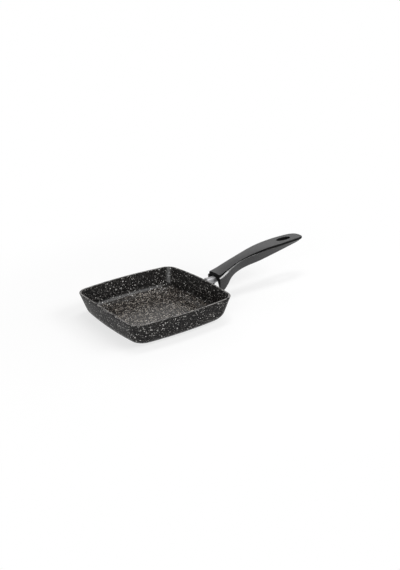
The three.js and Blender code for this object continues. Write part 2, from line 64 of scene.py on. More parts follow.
FIT_GAP = 0.0003  # between pieces that seat on or in each other
OVERRUN = 0.004  # how far a cutting solid runs past what it cuts
SHARP_ANGLE = math.radians(34)  # edges that turn more than this stay crisp
MERGE_DISTANCE = 1e-7  # points of a new solid that count as one
SLIVER = 1e-6  # edges shorter than this are closed up after a cut or an extrusion
TURNED_STEPS = 40  # facets round a turned piece

log = logging.getLogger("pan")


class Region(Enum):
    """Point attributes that tell the coating where on the pan it lies."""

    COOKING = "cooking_floor"
    RIM = "rim_edge"


class Grain(Enum):
    """Ways in which a metal surface was worked, as stretches of its streaks along X, Y and Z."""

    DRAWN = (30.0, 1400.0, 1400.0)
    ROLLED = (1100.0, 24.0, 1100.0)
    CAST = (1500.0, 1500.0, 1500.0)
    TURNED = (420.0, 420.0, 2600.0)


class Cut(Enum):
    """What becomes of a solid where another one meets it."""

    AWAY = "DIFFERENCE"
    JOINED = "UNION"


class GripFinish(Enum):
    """Finishes of the handle's body, as the numbers of its material slots."""

    SMOOTH = 0
    # painted shade: near-black faces in front and inside the arch
    DULL = 1
    POLISHED = 2


# Mesh helpers


def solid_object(name: str, points: np.ndarray, faces: Sequence[Sequence[int]]) -> Piece:
    """Makes a closed, smooth-shaded object from points and faces.

    Args:
        name: The object's name.
        points: One row of x, y and z for each vertex.
        faces: Vertex numbers of each face, in any turning sense.

    Returns:
        The object, linked to the scene, with its faces pointing outwards.
    """
    mesh = bpy.data.meshes.new(name)
    mesh.from_pydata(points.tolist(), [], [tuple(face) for face in faces])
    heal(mesh, MERGE_DISTANCE)
    shade(mesh)
    return link(name, mesh)


def heal(mesh: bpy.types.Mesh, distance: float) -> None:
    """Merges doubled points, removes slivers, splits many-sided faces and turns all faces outwards.

    Args:
        mesh: The closed mesh.
        distance: Points and edges closer together than this become one.
    """
    editable = bmesh.new()
    editable.from_mesh(mesh)
    bmesh.ops.remove_doubles(editable, verts=editable.verts, dist=distance)
    bmesh.ops.dissolve_degenerate(editable, edges=editable.edges, dist=distance)
    large = [face for face in editable.faces if len(face.verts) > 4]
    bmesh.ops.triangulate(editable, faces=large, ngon_method="BEAUTY")
    bmesh.ops.recalc_face_normals(editable, faces=editable.faces)
    editable.to_mesh(mesh)
    editable.free()


def shade(mesh: bpy.types.Mesh) -> None:
    """Shades a mesh smooth, apart from its crisp edges."""
    mesh.shade_smooth()
    mesh.set_sharp_from_angle(angle=SHARP_ANGLE)


def link(name: str, data: bpy.types.ID) -> Piece:
    """Links a mesh, a lamp or a camera to the scene.

    Args:
        name: The object's name.
        data: What the object holds.

    Returns:
        The new object, at the origin.
    """
    piece = bpy.data.objects.new(name, data)
    bpy.context.scene.collection.objects.link(piece)
    return piece


def bands(count: int, rings: int) -> list[list[int]]:
    """Faces between each ring and the next.

    Args:
        count: Points in a ring.
        rings: How many rings there are.

    Returns:
        Vertex numbers of each face.
    """
    here = np.arange(count)
    beside = np.roll(here, -1)
    band = np.stack((here, beside, beside + count, here + count), axis=1)
    starts = count * np.arange(rings - 1)
    return (band[None] + starts[:, None, None]).reshape(-1, 4).tolist()


def loft(name: str, rings: Sequence[Ring]) -> Piece:
    """Makes a solid through a row of rings, with a face at each end.

    Args:
        name: The object's name.
        rings: Closed rings with the same number of points.

    Returns:
        The solid.
    """
    count = len(rings[0])
    last = count * (len(rings) - 1)
    ends = [list(range(count))[::-1], list(range(last, last + count))]
    return solid_object(name, np.concatenate(rings), ends + bands(count, len(rings)))


def lathe(name: str, profile: Sequence[tuple[float, float]], place: Matrix) -> Piece:
    """Turns a profile about its Z axis.

    Args:
        name: The object's name.
        profile: Radius and height of each point, with the first and last point's radius above zero.
        place: Where the solid stands.

    Returns:
        The turned solid.
    """
    angles = np.linspace(0.0, 2.0 * math.pi, TURNED_STEPS, endpoint=False)
    rings = []
    for radius, height in profile:
        level = np.full(TURNED_STEPS, height)
        rings.append(np.stack((radius * np.cos(angles), radius * np.sin(angles), level), axis=1))
    solid = loft(name, rings)
    solid.data.transform(place)
    return solid


def bake(piece: Piece) -> None:
    """Turns a piece's modifiers into plain mesh.

    Args:
        piece: The piece.
    """
    graph = bpy.context.evaluated_depsgraph_get()
    done = bpy.data.meshes.new_from_object(piece.evaluated_get(graph), depsgraph=graph)
    piece.modifiers.clear()
    old = piece.data
    piece.data = done
    bpy.data.meshes.remove(old)
    done.name = piece.name


def carve(piece: Piece, tools: Sequence[Piece], cut: Cut = Cut.AWAY) -> None:
    """Cuts or joins solids, one after the other, and removes them.

    Args:
        piece: The solid that is changed.
        tools: The solids that are cut away or joined on.
        cut: Which of the two.
    """
    for tool in tools:
        step = piece.modifiers.new(tool.name, "BOOLEAN")
        step.operation = cut.value
        step.solver = "EXACT"
        step.object = tool
        bake(piece)
        bpy.data.objects.remove(tool)
    heal(piece.data, SLIVER)
    shade(piece.data)


def paint(piece: Piece, region: Region, values: np.ndarray) -> None:
    """Writes a point attribute that a material reads, one number for each vertex."""
    attribute = piece.data.attributes.new(region.value, "FLOAT", "POINT")
    attribute.data.foreach_set("value", values.astype(np.float32))


def coat(piece: Piece, *materials: Material) -> None:
    """Gives a piece its materials, in the order of its slots."""
    for material in materials:
        piece.data.materials.append(material)


def dress(piece: Piece, slot: str, *nodes: str) -> None:
    """Gives a finished piece its place in the part and logs it.

    Args:
        piece: The finished piece.
        slot: The record's material slot; not used.
        *nodes: The construction nodes that it stands for.
    """
    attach(piece, "root")
    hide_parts(*nodes)
    log.info("%s: %d faces", piece.name, len(piece.data.polygons))


def smooth_step(values: np.ndarray | float, start: float, end: float) -> np.ndarray:
    """Eases from 0 at start to 1 at end."""
    share = np.clip((np.asarray(values) - start) / (end - start), 0.0, 1.0)
    return share * share * (3.0 - 2.0 * share)


def quarter(points: int) -> np.ndarray:
    """Angles that share out a quarter turn, both ends included."""
    return np.radians(np.linspace(0.0, 90.0, points))


def arc(centre: tuple[float, float], radius: float, start: float, end: float, steps: int) -> np.ndarray:
    """Points on an arc between two angles in degrees, one row for each point."""
    angles = np.radians(np.linspace(start, end, steps + 1))
    return np.stack((centre[0] + radius * np.cos(angles), centre[1] + radius * np.sin(angles)), axis=1)


# Node helpers


@dataclass(frozen=True)
class Cloud:
    """Soft random pattern: waves to a metre, octaves, and the noise that counts as none and as full."""

    waves: float
    octaves: float
    low: float
    high: float


class NodeGraph:
    """Adds nodes to a tree and links them."""

    def __init__(self, tree: bpy.types.NodeTree) -> None:
        """Keeps the tree that nodes are added to."""
        self.tree = tree

    def add(self, kind: str, inputs: dict | None = None, **settings: object) -> bpy.types.Node:
        """Adds one node.

        Args:
            kind: The node's type.
            inputs: Values or sockets for its inputs, by name or number.
            **settings: Values for its own properties.

        Returns:
            The node.
        """
        node = self.tree.nodes.new(kind)
        for name, value in settings.items():
            setattr(node, name, value)
        for key, value in (inputs or {}).items():
            if isinstance(value, Socket):
                self.tree.links.new(value, node.inputs[key])
            else:
                node.inputs[key].default_value = value
        return node

    def math(self, operation: str, first: Socket | float, second: Socket | float = 0.0) -> Socket:
        """One operation on two values."""
        return self.add("ShaderNodeMath", {0: first, 1: second}, operation=operation).outputs[0]

    def ramp(self, value: Socket, low: Socket | float, high: Socket | float,
             start: float = 0.0, end: float = 1.0) -> Socket:
        """Eases a value: low gives start, and high gives end."""
        inputs = {"Value": value, "From Min": low, "From Max": high, "To Min": start, "To Max": end}
        return self.add("ShaderNodeMapRange", inputs, interpolation_type="SMOOTHSTEP").outputs[0]


class GeometryGraph(NodeGraph):
    """A geometry tree with named inputs, which ends in plain mesh with one material."""

    def __init__(self, name: str, sockets: dict[str, str]) -> None:
        """Starts the tree.

        Args:
            name: The tree's name.
            sockets: Kind of each input besides Geometry and Material, by its name.
        """
        super().__init__(bpy.data.node_groups.new(name, "GeometryNodeTree"))
        interface = self.tree.interface
        for socket, kind in {"Geometry": "Geometry", "Material": "Material", **sockets}.items():
            interface.new_socket(socket, in_out="INPUT", socket_type=f"NodeSocket{kind}")
        interface.new_socket("Geometry", in_out="OUTPUT", socket_type="NodeSocketGeometry")
        self.inputs = self.add("NodeGroupInput").outputs

    def join(self, *parts: Socket) -> Socket:
        """Joins geometries.

        Args:
            *parts: What is joined.

        Returns:
            The joined geometry.
        """
        joined = self.add("GeometryNodeJoinGeometry")
        for part in parts:
            self.tree.links.new(part, joined.inputs[0])
        return joined.outputs[0]

    def end(self, geometry: Socket) -> None:
        """Ends the tree in real geometry with its material.

        Args:
            geometry: The finished geometry.
        """
        real = self.add("GeometryNodeRealizeInstances", {0: geometry})
        dressed = {"Geometry": real.outputs[0], "Material": self.inputs["Material"]}
        done = self.add("GeometryNodeSetMaterial", dressed)
        self.add("NodeGroupOutput", {0: done.outputs[0]})

    def grow(self, name: str, mesh: bpy.types.Mesh, values: dict) -> Piece:
        """Runs the tree on a mesh and keeps the result as plain mesh.

        Args:
            name: The piece's name.
            mesh: What the tree starts from.
            values: Values of its inputs, by name.

        Returns:
            The piece.
        """
        piece = link(name, mesh)
        modifier = piece.modifiers.new(self.tree.name, "NODES")
        modifier.node_group = self.tree
        for socket in self.tree.interface.items_tree:
            if socket.in_out == "INPUT" and socket.name in values:
                modifier[socket.identifier] = values[socket.name]
        bake(piece)
        shade(piece.data)
        return piece


class ShaderGraph(NodeGraph):
    """A material's nodes, with the few operations that the finishes share."""

    EDGE_LIKENESS = (0.995, 0.86)  # of the plain and the softened normal, on a face and on an edge
    EDGE_SAMPLES = 6
    COLOUR_INPUTS = (6, 7)  # numbers of a mix node's sockets for two colours
    COLOUR_OUTPUT = 2

    def __init__(self, name: str) -> None:
        """Makes a material with an empty tree.

        Args:
            name: The material's name.
        """
        self.material = bpy.data.materials.new(name)
        self.material.use_nodes = True
        self.material.node_tree.nodes.clear()
        super().__init__(self.material.node_tree)

    def where(self) -> Socket:
        """The point's place on the piece."""
        return self.add("ShaderNodeTexCoord").outputs["Object"]

    def region(self, region: Region) -> Socket:
        """Share by which a point lies in a region of the pan."""
        return self.add("ShaderNodeAttribute", attribute_name=region.value).outputs["Fac"]

    def blend(self, share: Socket, first: Socket | Colour, second: Socket | Colour) -> Socket:
        """Mixes two colours.

        Args:
            share: Share of the second colour.
            first: First colour.
            second: Second colour.

        Returns:
            The mixed colour.
        """
        ends = [end if isinstance(end, Socket) else (*end, 1.0) for end in (first, second)]
        inputs = {0: share, **dict(zip(self.COLOUR_INPUTS, ends))}
        return self.add("ShaderNodeMix", inputs, data_type="RGBA").outputs[self.COLOUR_OUTPUT]

    def noise(self, where: Socket, waves: float, octaves: float = 2.0, output: str = "Fac") -> Socket:
        """Soft random pattern, with so many waves to a metre."""
        inputs = {"Vector": where, "Scale": waves, "Detail": octaves}
        return self.add("ShaderNodeTexNoise", inputs).outputs[output]

    def clouds(self, where: Socket, cloud: Cloud, start: float = 0.0, end: float = 1.0) -> Socket:
        """Soft random pattern, eased between two values."""
        return self.ramp(self.noise(where, cloud.waves, cloud.octaves), cloud.low, cloud.high, start, end)

    def stretched(self, where: Socket, stretch: tuple[float, float, float]) -> Socket:
        """Scales a place along X, Y and Z."""
        return self.add("ShaderNodeVectorMath", {0: where, 1: stretch}, operation="MULTIPLY").outputs[0]

    def edges(self, radius: float) -> Socket:
        """Share by which a point lies on an outer edge.

        Args:
            radius: Reach of the edge.

        Returns:
            0 on a plain face, up to 1 on an edge.
        """
        softened = self.add("ShaderNodeBevel", {"Radius": radius}, samples=self.EDGE_SAMPLES).outputs[0]
        normal = self.add("ShaderNodeNewGeometry").outputs["Normal"]
        likeness = self.add("ShaderNodeVectorMath", {0: softened, 1: normal}, operation="DOT_PRODUCT")
        return self.ramp(likeness.outputs["Value"], *self.EDGE_LIKENESS)

    def bump(self, height: Socket, depth: float, under: Socket | None = None) -> Socket:
        """Fine relief.

        Args:
            height: Pattern from 0 to 1.
            depth: Relief between 0 and 1, in metres.
            under: Relief that this one lies on.

        Returns:
            The normal.
        """
        inputs = {"Height": height, "Distance": depth, "Strength": 1.0}
        if under is not None:
            inputs["Normal"] = under
        return self.add("ShaderNodeBump", inputs).outputs[0]

    def surface(self, inputs: dict) -> Material:
        """Ends the tree in one surface shader.

        Args:
            inputs: Values or sockets of the shader.

        Returns:
            The material.
        """
        shader = self.add("ShaderNodeBsdfPrincipled", inputs)
        self.add("ShaderNodeOutputMaterial", {"Surface": shader.outputs[0]})
        return self.material


# Finishes


@dataclass(frozen=True)
class FleckLayer:
    """One size of fleck in the coating.

    Cells are counted to a metre, share is the part of the cells that hold a fleck, and reach is the
    largest fleck's radius as a share of its cell.
    """

    cells: float
    share: float
    reach: float
    pale: Colour
    dull: Colour


@dataclass(frozen=True)
class SpeckledCoating:
    """Charcoal non-stick coat with sprayed flecks, paler on the rim: wear, and a painted highlight along the
    rim's top.

    The smallest fleck has least_reach of its layer's reach, and a fleck is solid up to solid_core of its
    radius. Fleck_rise is a fleck's height as a share of the peel's depth.
    """

    name: str
    gloss: float
    roughness: tuple[float, float]
    ground: Colour = (0.0034, 0.0032, 0.0031)
    mottled: Colour = (0.010, 0.0094, 0.0090)
    # paler colour of the rim's top: wear, and a painted highlight
    rim: Colour = (0.24, 0.231, 0.224)
    wobble: float = 0.0003
    wobble_waves: float = 1500.0
    peel: float = 0.000025
    peel_waves: float = 900.0
    mottle: Cloud = Cloud(420.0, 3.0, 0.35, 0.75)
    wear: Cloud = Cloud(160.0, 4.0, 0.30, 0.62)
    sheen: Cloud = Cloud(250.0, 3.0, 0.2, 0.8)
    least_reach: float = 0.35
    solid_core: float = 0.72
    fleck_rise: float = 0.5
    layers: tuple[FleckLayer, ...] = (
        FleckLayer(1300.0, 0.42, 0.50, (0.17, 0.159, 0.149), (0.03, 0.0275, 0.0255)),
        FleckLayer(840.0, 0.27, 0.48, (0.66, 0.645, 0.62), (0.15, 0.142, 0.133)),
        FleckLayer(390.0, 0.22, 0.29, (0.86, 0.85, 0.83), (0.50, 0.48, 0.46)),
    )
    floor_layer: FleckLayer = FleckLayer(790.0, 0.52, 0.52, (0.94, 0.84, 0.73), (0.09, 0.074, 0.06))
    floor_ground: Colour = (0.013, 0.0106, 0.0088)

    def flecks(self, graph: ShaderGraph, where: Socket, layer: FleckLayer) -> tuple[Socket, Socket]:
        """One layer of flecks.

        Args:
            graph: The material's nodes.
            where: The place, already wobbled.
            layer: The layer's sizes and colours.

        Returns:
            The flecks' mask and their colour.
        """
        cells = graph.add("ShaderNodeTexVoronoi", {"Vector": where, "Scale": layer.cells})
        draw = graph.add("ShaderNodeSeparateColor", {0: cells.outputs["Color"]})
        present = graph.math("LESS_THAN", draw.outputs[0], layer.share)
        reach = graph.ramp(draw.outputs[1], 0.0, 1.0, self.least_reach * layer.reach, layer.reach)
        core = graph.math("MULTIPLY", reach, self.solid_core)
        inside = graph.ramp(cells.outputs["Distance"], reach, core)
        colour = graph.blend(draw.outputs[2], layer.dull, layer.pale)
        return graph.math("MULTIPLY", inside, present), colour

    def make(self) -> Material:
        """Makes the coating's material.

        Returns:
            The material.
        """
        graph = ShaderGraph(self.name)
        where = graph.where()
        shift = graph.noise(where, self.wobble_waves, octaves=1.0, output="Color")
        sums = {0: shift, 1: (self.wobble,) * 3, 2: where}
        moved = graph.add("ShaderNodeVectorMath", sums, operation="MULTIPLY_ADD").outputs[0]
        cooking = graph.region(Region.COOKING)
        colour = graph.blend(graph.clouds(where, self.mottle), self.ground, self.mottled)
        colour = graph.blend(cooking, colour, self.floor_ground)
        mask, tint = self.flecks(graph, moved, self.floor_layer)
        colour = graph.blend(graph.math("MULTIPLY", mask, cooking), colour, tint)
        relief = mask
        for layer in self.layers:
            mask, tint = self.flecks(graph, moved, layer)
            colour = graph.blend(mask, colour, tint)
            relief = graph.math("MAXIMUM", relief, mask)
        # the rim painted paler in patches: wear, and a painted highlight along its top
        worn_and_highlit = graph.math("MULTIPLY", graph.region(Region.RIM), graph.clouds(where, self.wear))
        colour = graph.blend(worn_and_highlit, colour, self.rim)
        peel = graph.bump(graph.noise(where, self.peel_waves), self.peel)
        return graph.surface({
            "Base Color": colour,
            "Roughness": graph.clouds(where, self.sheen, *self.roughness),
            "Specular IOR Level": self.gloss,
            "Normal": graph.bump(relief, self.fleck_rise * self.peel, peel),
        })


@dataclass(frozen=True)
class MouldedPlastic:
    """Heat-proof moulding with a fine spark texture, paler on its edges: wear, and a painted highlight along
    them.
    """

    name: str
    colour: Colour
    roughness: float
    texture: float = 0.00002
    gloss: float = 0.5
    mottle: Cloud = Cloud(95.0, 4.0, 0.3, 0.7)
    mottle_paler: float = 1.22
    wear: Cloud = Cloud(240.0, 3.0, 0.35, 0.7)
    wear_reach: float = 0.0007
    wear_share: float = 0.45
    wear_paler: float = 2.1
    streaks: Cloud = Cloud(1.0, 3.0, 0.3, 0.7)
    streak_stretch: tuple[float, float, float] = (60.0, 1500.0, 1500.0)
    roughness_spread: tuple[float, float] = (-0.05, 0.06)
    texture_waves: float = 2600.0

    def make(self) -> Material:
        """Makes the moulding's material.

        Returns:
            The material.
        """
        graph = ShaderGraph(self.name)
        where = graph.where()
        pale = tuple(self.mottle_paler * part for part in self.colour)
        worn_and_highlit = tuple(self.wear_paler * part for part in self.colour)
        colour = graph.blend(graph.clouds(where, self.mottle), self.colour, pale)
        # edges painted paler: wear, and a painted highlight along the rounded edges
        rubbed_and_highlit = graph.math("MULTIPLY", graph.edges(self.wear_reach), graph.clouds(where, self.wear))
        colour = graph.blend(graph.math("MULTIPLY", rubbed_and_highlit, self.wear_share), colour, worn_and_highlit)
        low, high = (self.roughness + part for part in self.roughness_spread)
        drawn = graph.stretched(where, self.streak_stretch)
        return graph.surface({
            "Base Color": colour,
            "Roughness": graph.clouds(drawn, self.streaks, low, high),
            "Specular IOR Level": self.gloss,
            "Normal": graph.bump(graph.noise(where, self.texture_waves, octaves=3.0), self.texture),
        })


@dataclass(frozen=True)
class WorkedMetal:
    """Bare metal with the streaks of the way it was worked."""

    name: str
    colour: Colour
    grain: Grain
    roughness: float
    tarnish: float = 0.35
    depth: float = 0.000012
    stains: Cloud = Cloud(130.0, 5.0, 0.42, 0.74)
    streak_range: tuple[float, float] = (0.25, 0.75)
    streak_shade: float = 0.86
    roughness_spread: tuple[float, float] = (-0.07, 0.1)

    def make(self) -> Material:
        """Makes the metal's material.

        Returns:
            The material.
        """
        graph = ShaderGraph(self.name)
        where = graph.where()
        shaded = tuple(self.streak_shade * part for part in self.colour)
        dull = tuple((1.0 - self.tarnish) * part for part in self.colour)
        streaks = graph.noise(graph.stretched(where, self.grain.value), waves=1.0, octaves=4.0)
        colour = graph.blend(graph.ramp(streaks, *self.streak_range), self.colour, shaded)
        colour = graph.blend(graph.clouds(where, self.stains), colour, dull)
        low, high = (self.roughness + part for part in self.roughness_spread)
        return graph.surface({
            "Base Color": colour,
            "Roughness": graph.ramp(streaks, *self.streak_range, low, high),
            "Metallic": 1.0,
            "Normal": graph.bump(streaks, self.depth),
        })


class Look(Enum):
    """The finishes of this pan."""

    OUTER_COAT = SpeckledCoating("outer_coat", gloss=0.03, roughness=(0.22, 0.30),
                                 ground=(0.0101, 0.0098, 0.0099), mottled=(0.0174, 0.0168, 0.0170))
    INNER_COAT = SpeckledCoating("inner_coat", gloss=0.22, roughness=(0.22, 0.32))
    PLATE_STEEL = WorkedMetal("plate_steel", (0.50, 0.50, 0.51), Grain.ROLLED, roughness=0.33)
    BAR_STEEL = WorkedMetal("bar_steel", (0.54, 0.54, 0.55), Grain.DRAWN, roughness=0.5, tarnish=0.2)
    SCREW_STEEL = WorkedMetal("screw_steel", (0.55, 0.55, 0.56), Grain.TURNED, roughness=0.3)
    ALUMINIUM = WorkedMetal("cast_aluminium", (0.62, 0.62, 0.63), Grain.CAST, roughness=0.45,
                            tarnish=0.25, depth=0.00003)
    BRASS = WorkedMetal("turned_brass", (0.62, 0.44, 0.16), Grain.TURNED, roughness=0.3)
    BODY_PLASTIC = MouldedPlastic("body_plastic", (0.012, 0.012, 0.0125), roughness=0.25, texture=0.00001)
    COVER_PLASTIC = MouldedPlastic("cover_plastic", (0.036, 0.036, 0.0367), roughness=0.42,
                                   mottle=Cloud(800.0, 4.0, 0.3, 0.7), mottle_paler=1.6)
    # near-black plastic with almost no reflection, for the handle's front, inside the arch and the cover's
    # edge: painted shade
    EDGE_PLASTIC = MouldedPlastic("edge_plastic", (0.006, 0.006, 0.0062), roughness=0.40,
                                  texture=0.00001, gloss=0.03)
    LEDGE_PLASTIC = MouldedPlastic("ledge_plastic", (0.012, 0.012, 0.0125), roughness=0.18,
                                   texture=0.00001, gloss=1.0)


# Pan


@dataclass
class PanBody:
    """Pressed aluminium pan: a bowed square with sloping walls and a round foot."""

    bow_radius: float = 0.430
    corner_radius: float = 0.016
    corner_tightening: float = 0.1  # share of an inset that a corner's radius loses
    front_straightening: float = 1.0  # share of the front's bow that is gone at the rim
    base_edge_radius: float = 0.0165
    draft: float = math.radians(17.3)
    wall: float = 0.0024
    floor: float = 0.0034
    rim_round: float = 0.0007
    rim_wear: float = 0.5  # share of the rim's rounding that is painted paler: wear, and a painted highlight
    recess_half: float = 0.0463
    recess_depth: float = 0.0011
    cooking_rise: tuple[float, float] = (0.0035, 0.0060)  # above the floor, where its look fades out
    side_steps: int = 28
    corner_steps: int = 24
    arc_steps: int = 18
    wall_steps: int = 6
    rim_steps: int = 5
    half: float = field(init=False)
    height: float = field(init=False)

    def __post_init__(self) -> None:
        """Takes the overall size from the frame."""
        low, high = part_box("pan_body")
        self.half = (high.y - low.y) / 2.0
        self.height = high.z

    def plan(self, half: float, height: float) -> Ring:
        """Level outline of the pan, whose front side straightens towards the rim.

        Args:
            half: Half the width between the middles of two bowed sides.
            height: The outline's height.

        Returns:
            The outline's points.
        """
        corner = self.corner_radius - self.corner_tightening * (self.half - half)
        back = self.bow_radius - half
        reach = self.bow_radius - corner
        centre = (math.sqrt(2.0 * reach**2 - back**2) - back) / 2.0
        bow = math.atan2(centre, centre + back)
        side = np.linspace(-bow, bow, self.side_steps, endpoint=False)
        turn = np.linspace(bow, math.pi / 2.0 - bow, self.corner_steps, endpoint=False)
        one_side = np.concatenate((
            self.bow_radius * np.exp(1j * side) - back,
            corner * np.exp(1j * turn) + centre * (1.0 + 1.0j),
        ))
        outline = np.concatenate([one_side * 1j**number for number in range(4)])
        bowed = np.minimum(0.0, outline.real + centre + corner)
        x = outline.real - bowed * self.front_straightening * height / self.height
        return np.stack((x, outline.imag, np.full(len(outline), height)), axis=1)

    def wall_half(self, height: np.ndarray | float) -> np.ndarray | float:
        """Half width of the outer wall at a height above the foot's arc."""
        return self.half - (self.height - self.rim_round - height) * math.tan(self.draft)

    def side(self, rim_half: float, level: float, radius: float, outwards: float) -> np.ndarray:
        """Profile of one side of the wall, from its level face up to the rim's flat top.

        Args:
            rim_half: Half width where the rim's rounding starts.
            level: Height of the level face.
            radius: Radius of the arc at the foot.
            outwards: 1 on the outer side and -1 on the inner side.

        Returns:
            Half width and height of each point.
        """
        top = self.height - self.rim_round
        rise = top - level - radius
        centre = rim_half - (radius + rise * math.sin(self.draft)) / math.cos(self.draft)
        foot = arc((centre, level + radius), radius, -90.0, -math.degrees(self.draft), self.arc_steps)
        shares = np.linspace(0.0, 1.0, self.wall_steps, endpoint=False)[1:, None]
        straight = foot[-1] + shares * (np.array((rim_half, top)) - foot[-1])
        start = 0.0 if outwards > 0 else 180.0
        lip = arc((rim_half - outwards * self.rim_round, top), self.rim_round, start, 90.0, self.rim_steps)
        return np.concatenate((foot, straight, lip))

    def build(self, outside: Material, inside: Material) -> Piece:
        """Builds the pan's shell, with the base's recess.

        Args:
            outside: The coat on the outer wall, the rim and the base.
            inside: The coat on the inner wall and the floor.

        Returns:
            The pan, with the attributes that its coats read.
        """
        inner_half = self.half - self.wall / math.cos(self.draft)
        outer = self.side(self.half, 0.0, self.base_edge_radius, 1.0)
        inner = self.side(inner_half, self.floor, self.base_edge_radius - self.wall, -1.0)[::-1]
        recess = np.array(((self.recess_half, self.recess_depth), (self.recess_half, 0.0)))
        profile = np.concatenate((recess, outer, inner))
        rings = [self.plan(half, height) for half, height in profile]
        piece = loft("pan_shell", rings)
        height = np.repeat(profile[:, 1], len(rings[0]))
        is_inner = np.repeat(np.arange(len(profile)) >= len(recess) + len(outer), len(rings[0]))
        cooking_end = [self.floor + rise for rise in self.cooking_rise]
        paint(piece, Region.COOKING, is_inner * (1.0 - smooth_step(height, *cooking_end)))
        # the rim's top painted paler: wear, and a painted highlight
        worn_and_highlit_from = self.height - self.rim_wear * self.rim_round
        paint(piece, Region.RIM, smooth_step(height, worn_and_highlit_from, self.height))
        coat(piece, outside, inside)
        for face in piece.data.polygons:
            face.material_index = int(is_inner[list(face.vertices)].all())
        return piece


@dataclass
class BasePlate:
    """Perforated steel plate in the base, with the aluminium pips that show through it."""

    pan: PanBody
    half: float = 0.046
    thickness: float = 0.0008
    pitch: float = 0.014
    count: int = 6
    pip_radius: float = 0.0025
    steps: int = 32

    def on_grid(self, graph: GeometryGraph, shape: Socket) -> Socket:
        """Places a shape on the pips' grid.

        Args:
            graph: The geometry tree.
            shape: What is repeated.

        Returns:
            The repeated geometry, made real.
        """
        count = graph.inputs["Count"]
        size = graph.math("MULTIPLY", graph.math("SUBTRACT", count, 1.0), graph.inputs["Pitch"])
        grid = graph.add("GeometryNodeMeshGrid", {
            "Size X": size, "Size Y": size, "Vertices X": count, "Vertices Y": count,
        })
        places = {"Points": grid.outputs["Mesh"], "Instance": shape}
        copies = graph.add("GeometryNodeInstanceOnPoints", places)
        return graph.add("GeometryNodeRealizeInstances", {0: copies.outputs[0]}).outputs[0]

    def plate_tree(self) -> GeometryGraph:
        """Tree that fills an outline, leaves round holes on a grid and gives the sheet its thickness.

        Returns:
            The tree.
        """
        graph = GeometryGraph("perforated_plate", {
            "Count": "Int", "Pitch": "Float", "Hole Radius": "Float", "Thickness": "Float",
        })
        hole = graph.add("GeometryNodeCurvePrimitiveCircle", {
            "Resolution": self.steps, "Radius": graph.inputs["Hole Radius"],
        })
        holes = self.on_grid(graph, hole.outputs["Curve"])
        edge = graph.add("GeometryNodeMeshToCurve", {0: graph.inputs["Geometry"]})
        lines = graph.join(edge.outputs[0], holes)
        sheet = graph.add("GeometryNodeFillCurve", {0: lines}, mode="NGONS").outputs[0]
        up = graph.add("ShaderNodeCombineXYZ", {"Z": graph.inputs["Thickness"]})
        raised = graph.add("GeometryNodeExtrudeMesh", {
            "Mesh": sheet, "Offset": up.outputs[0], "Offset Scale": 1.0, "Individual": False,
        })
        under = graph.add("GeometryNodeFlipFaces", {0: sheet})
        both = graph.join(raised.outputs["Mesh"], under.outputs[0])
        whole = graph.add("GeometryNodeMergeByDistance", {"Geometry": both, "Distance": SLIVER})
        graph.end(whole.outputs[0])
        return graph

    def pip_tree(self) -> GeometryGraph:
        """Tree that sets a short round pip at each place of the grid.

        Returns:
            The tree.
        """
        graph = GeometryGraph("base_pips", {
            "Count": "Int", "Pitch": "Float", "Pip Radius": "Float", "Depth": "Float",
        })
        depth = graph.inputs["Depth"]
        pip = graph.add("GeometryNodeMeshCylinder", {
            "Vertices": self.steps, "Radius": graph.inputs["Pip Radius"], "Depth": depth,
        })
        lift = graph.add("ShaderNodeCombineXYZ", {"Z": graph.math("MULTIPLY", depth, 0.5)})
        seated = graph.add("GeometryNodeTransform", {
            "Geometry": pip.outputs["Mesh"], "Translation": lift.outputs[0],
        })
        graph.end(self.on_grid(graph, seated.outputs[0]))
        return graph

    def build(self, steel: Material, aluminium: Material) -> list[Piece]:
        """Builds the plate and the pips.

        Args:
            steel: The plate's material.
            aluminium: The pips' material.

        Returns:
            The plate and the pips.
        """
        outline = self.pan.plan(self.half, 0.0)
        count = len(outline)
        mesh = bpy.data.meshes.new("plate_outline")
        mesh.from_pydata(outline.tolist(), [(k, (k + 1) % count) for k in range(count)], [])
        plate = self.plate_tree().grow("induction_sheet", mesh, {
            "Count": self.count, "Pitch": self.pitch, "Hole Radius": self.pip_radius + FIT_GAP,
            "Thickness": self.thickness, "Material": steel,
        })
        pips = self.pip_tree().grow("base_pips", bpy.data.meshes.new("pip_places"), {
            "Count": self.count, "Pitch": self.pitch, "Pip Radius": self.pip_radius,
            "Depth": self.pan.recess_depth + FIT_GAP, "Material": aluminium,
        })
        return [plate, pips]


# Handle


@dataclass(frozen=True)
class Section:
    """The handle at one place along it: heights are counted from the rim, widths are halves.

    Top is the upper face's height at its sides, crown is how far its middle stands above that, and edge is
    the cover's depth at its sides. Cover, body and foot are the widths of the cover, of the body beside it
    and of the body's underside. Low is the underside's height, and round is the radius of its edges.
    """

    along: float
    top: float
    crown: float
    edge: float
    cover: float
    body: float
    foot: float
    low: float
    round: float


SECTIONS = (
    Section(0.000, 0.0031, 0.0010, 0.0033, 0.0113, 0.0134, 0.0134, -0.0185, 0.0012),
    Section(0.006, 0.0045, 0.0010, 0.0025, 0.0108, 0.0131, 0.0131, -0.0182, 0.0012),
    Section(0.013, 0.0067, 0.0010, 0.0015, 0.0099, 0.0124, 0.0122, -0.0130, 0.0016),
    Section(0.021, 0.0095, 0.0010, 0.0011, 0.0092, 0.0111, 0.0106, -0.0052, 0.0022),
    Section(0.037, 0.0144, 0.0010, 0.0010, 0.0085, 0.0092, 0.0082, 0.0002, 0.0034),
    Section(0.073, 0.0217, 0.0006, 0.0023, 0.0110, 0.0116, 0.0094, 0.0058, 0.0042),
    Section(0.105, 0.0239, 0.0001, 0.0030, 0.0130, 0.0120, 0.0102, 0.0122, 0.0034),
    Section(0.131, 0.0245, 0.0000, 0.0031, 0.0119, 0.0102, 0.0088, 0.0170, 0.0016),
    Section(0.147, 0.0242, 0.0000, 0.0033, 0.0110, 0.0092, 0.0082, 0.0197, 0.0008),
)


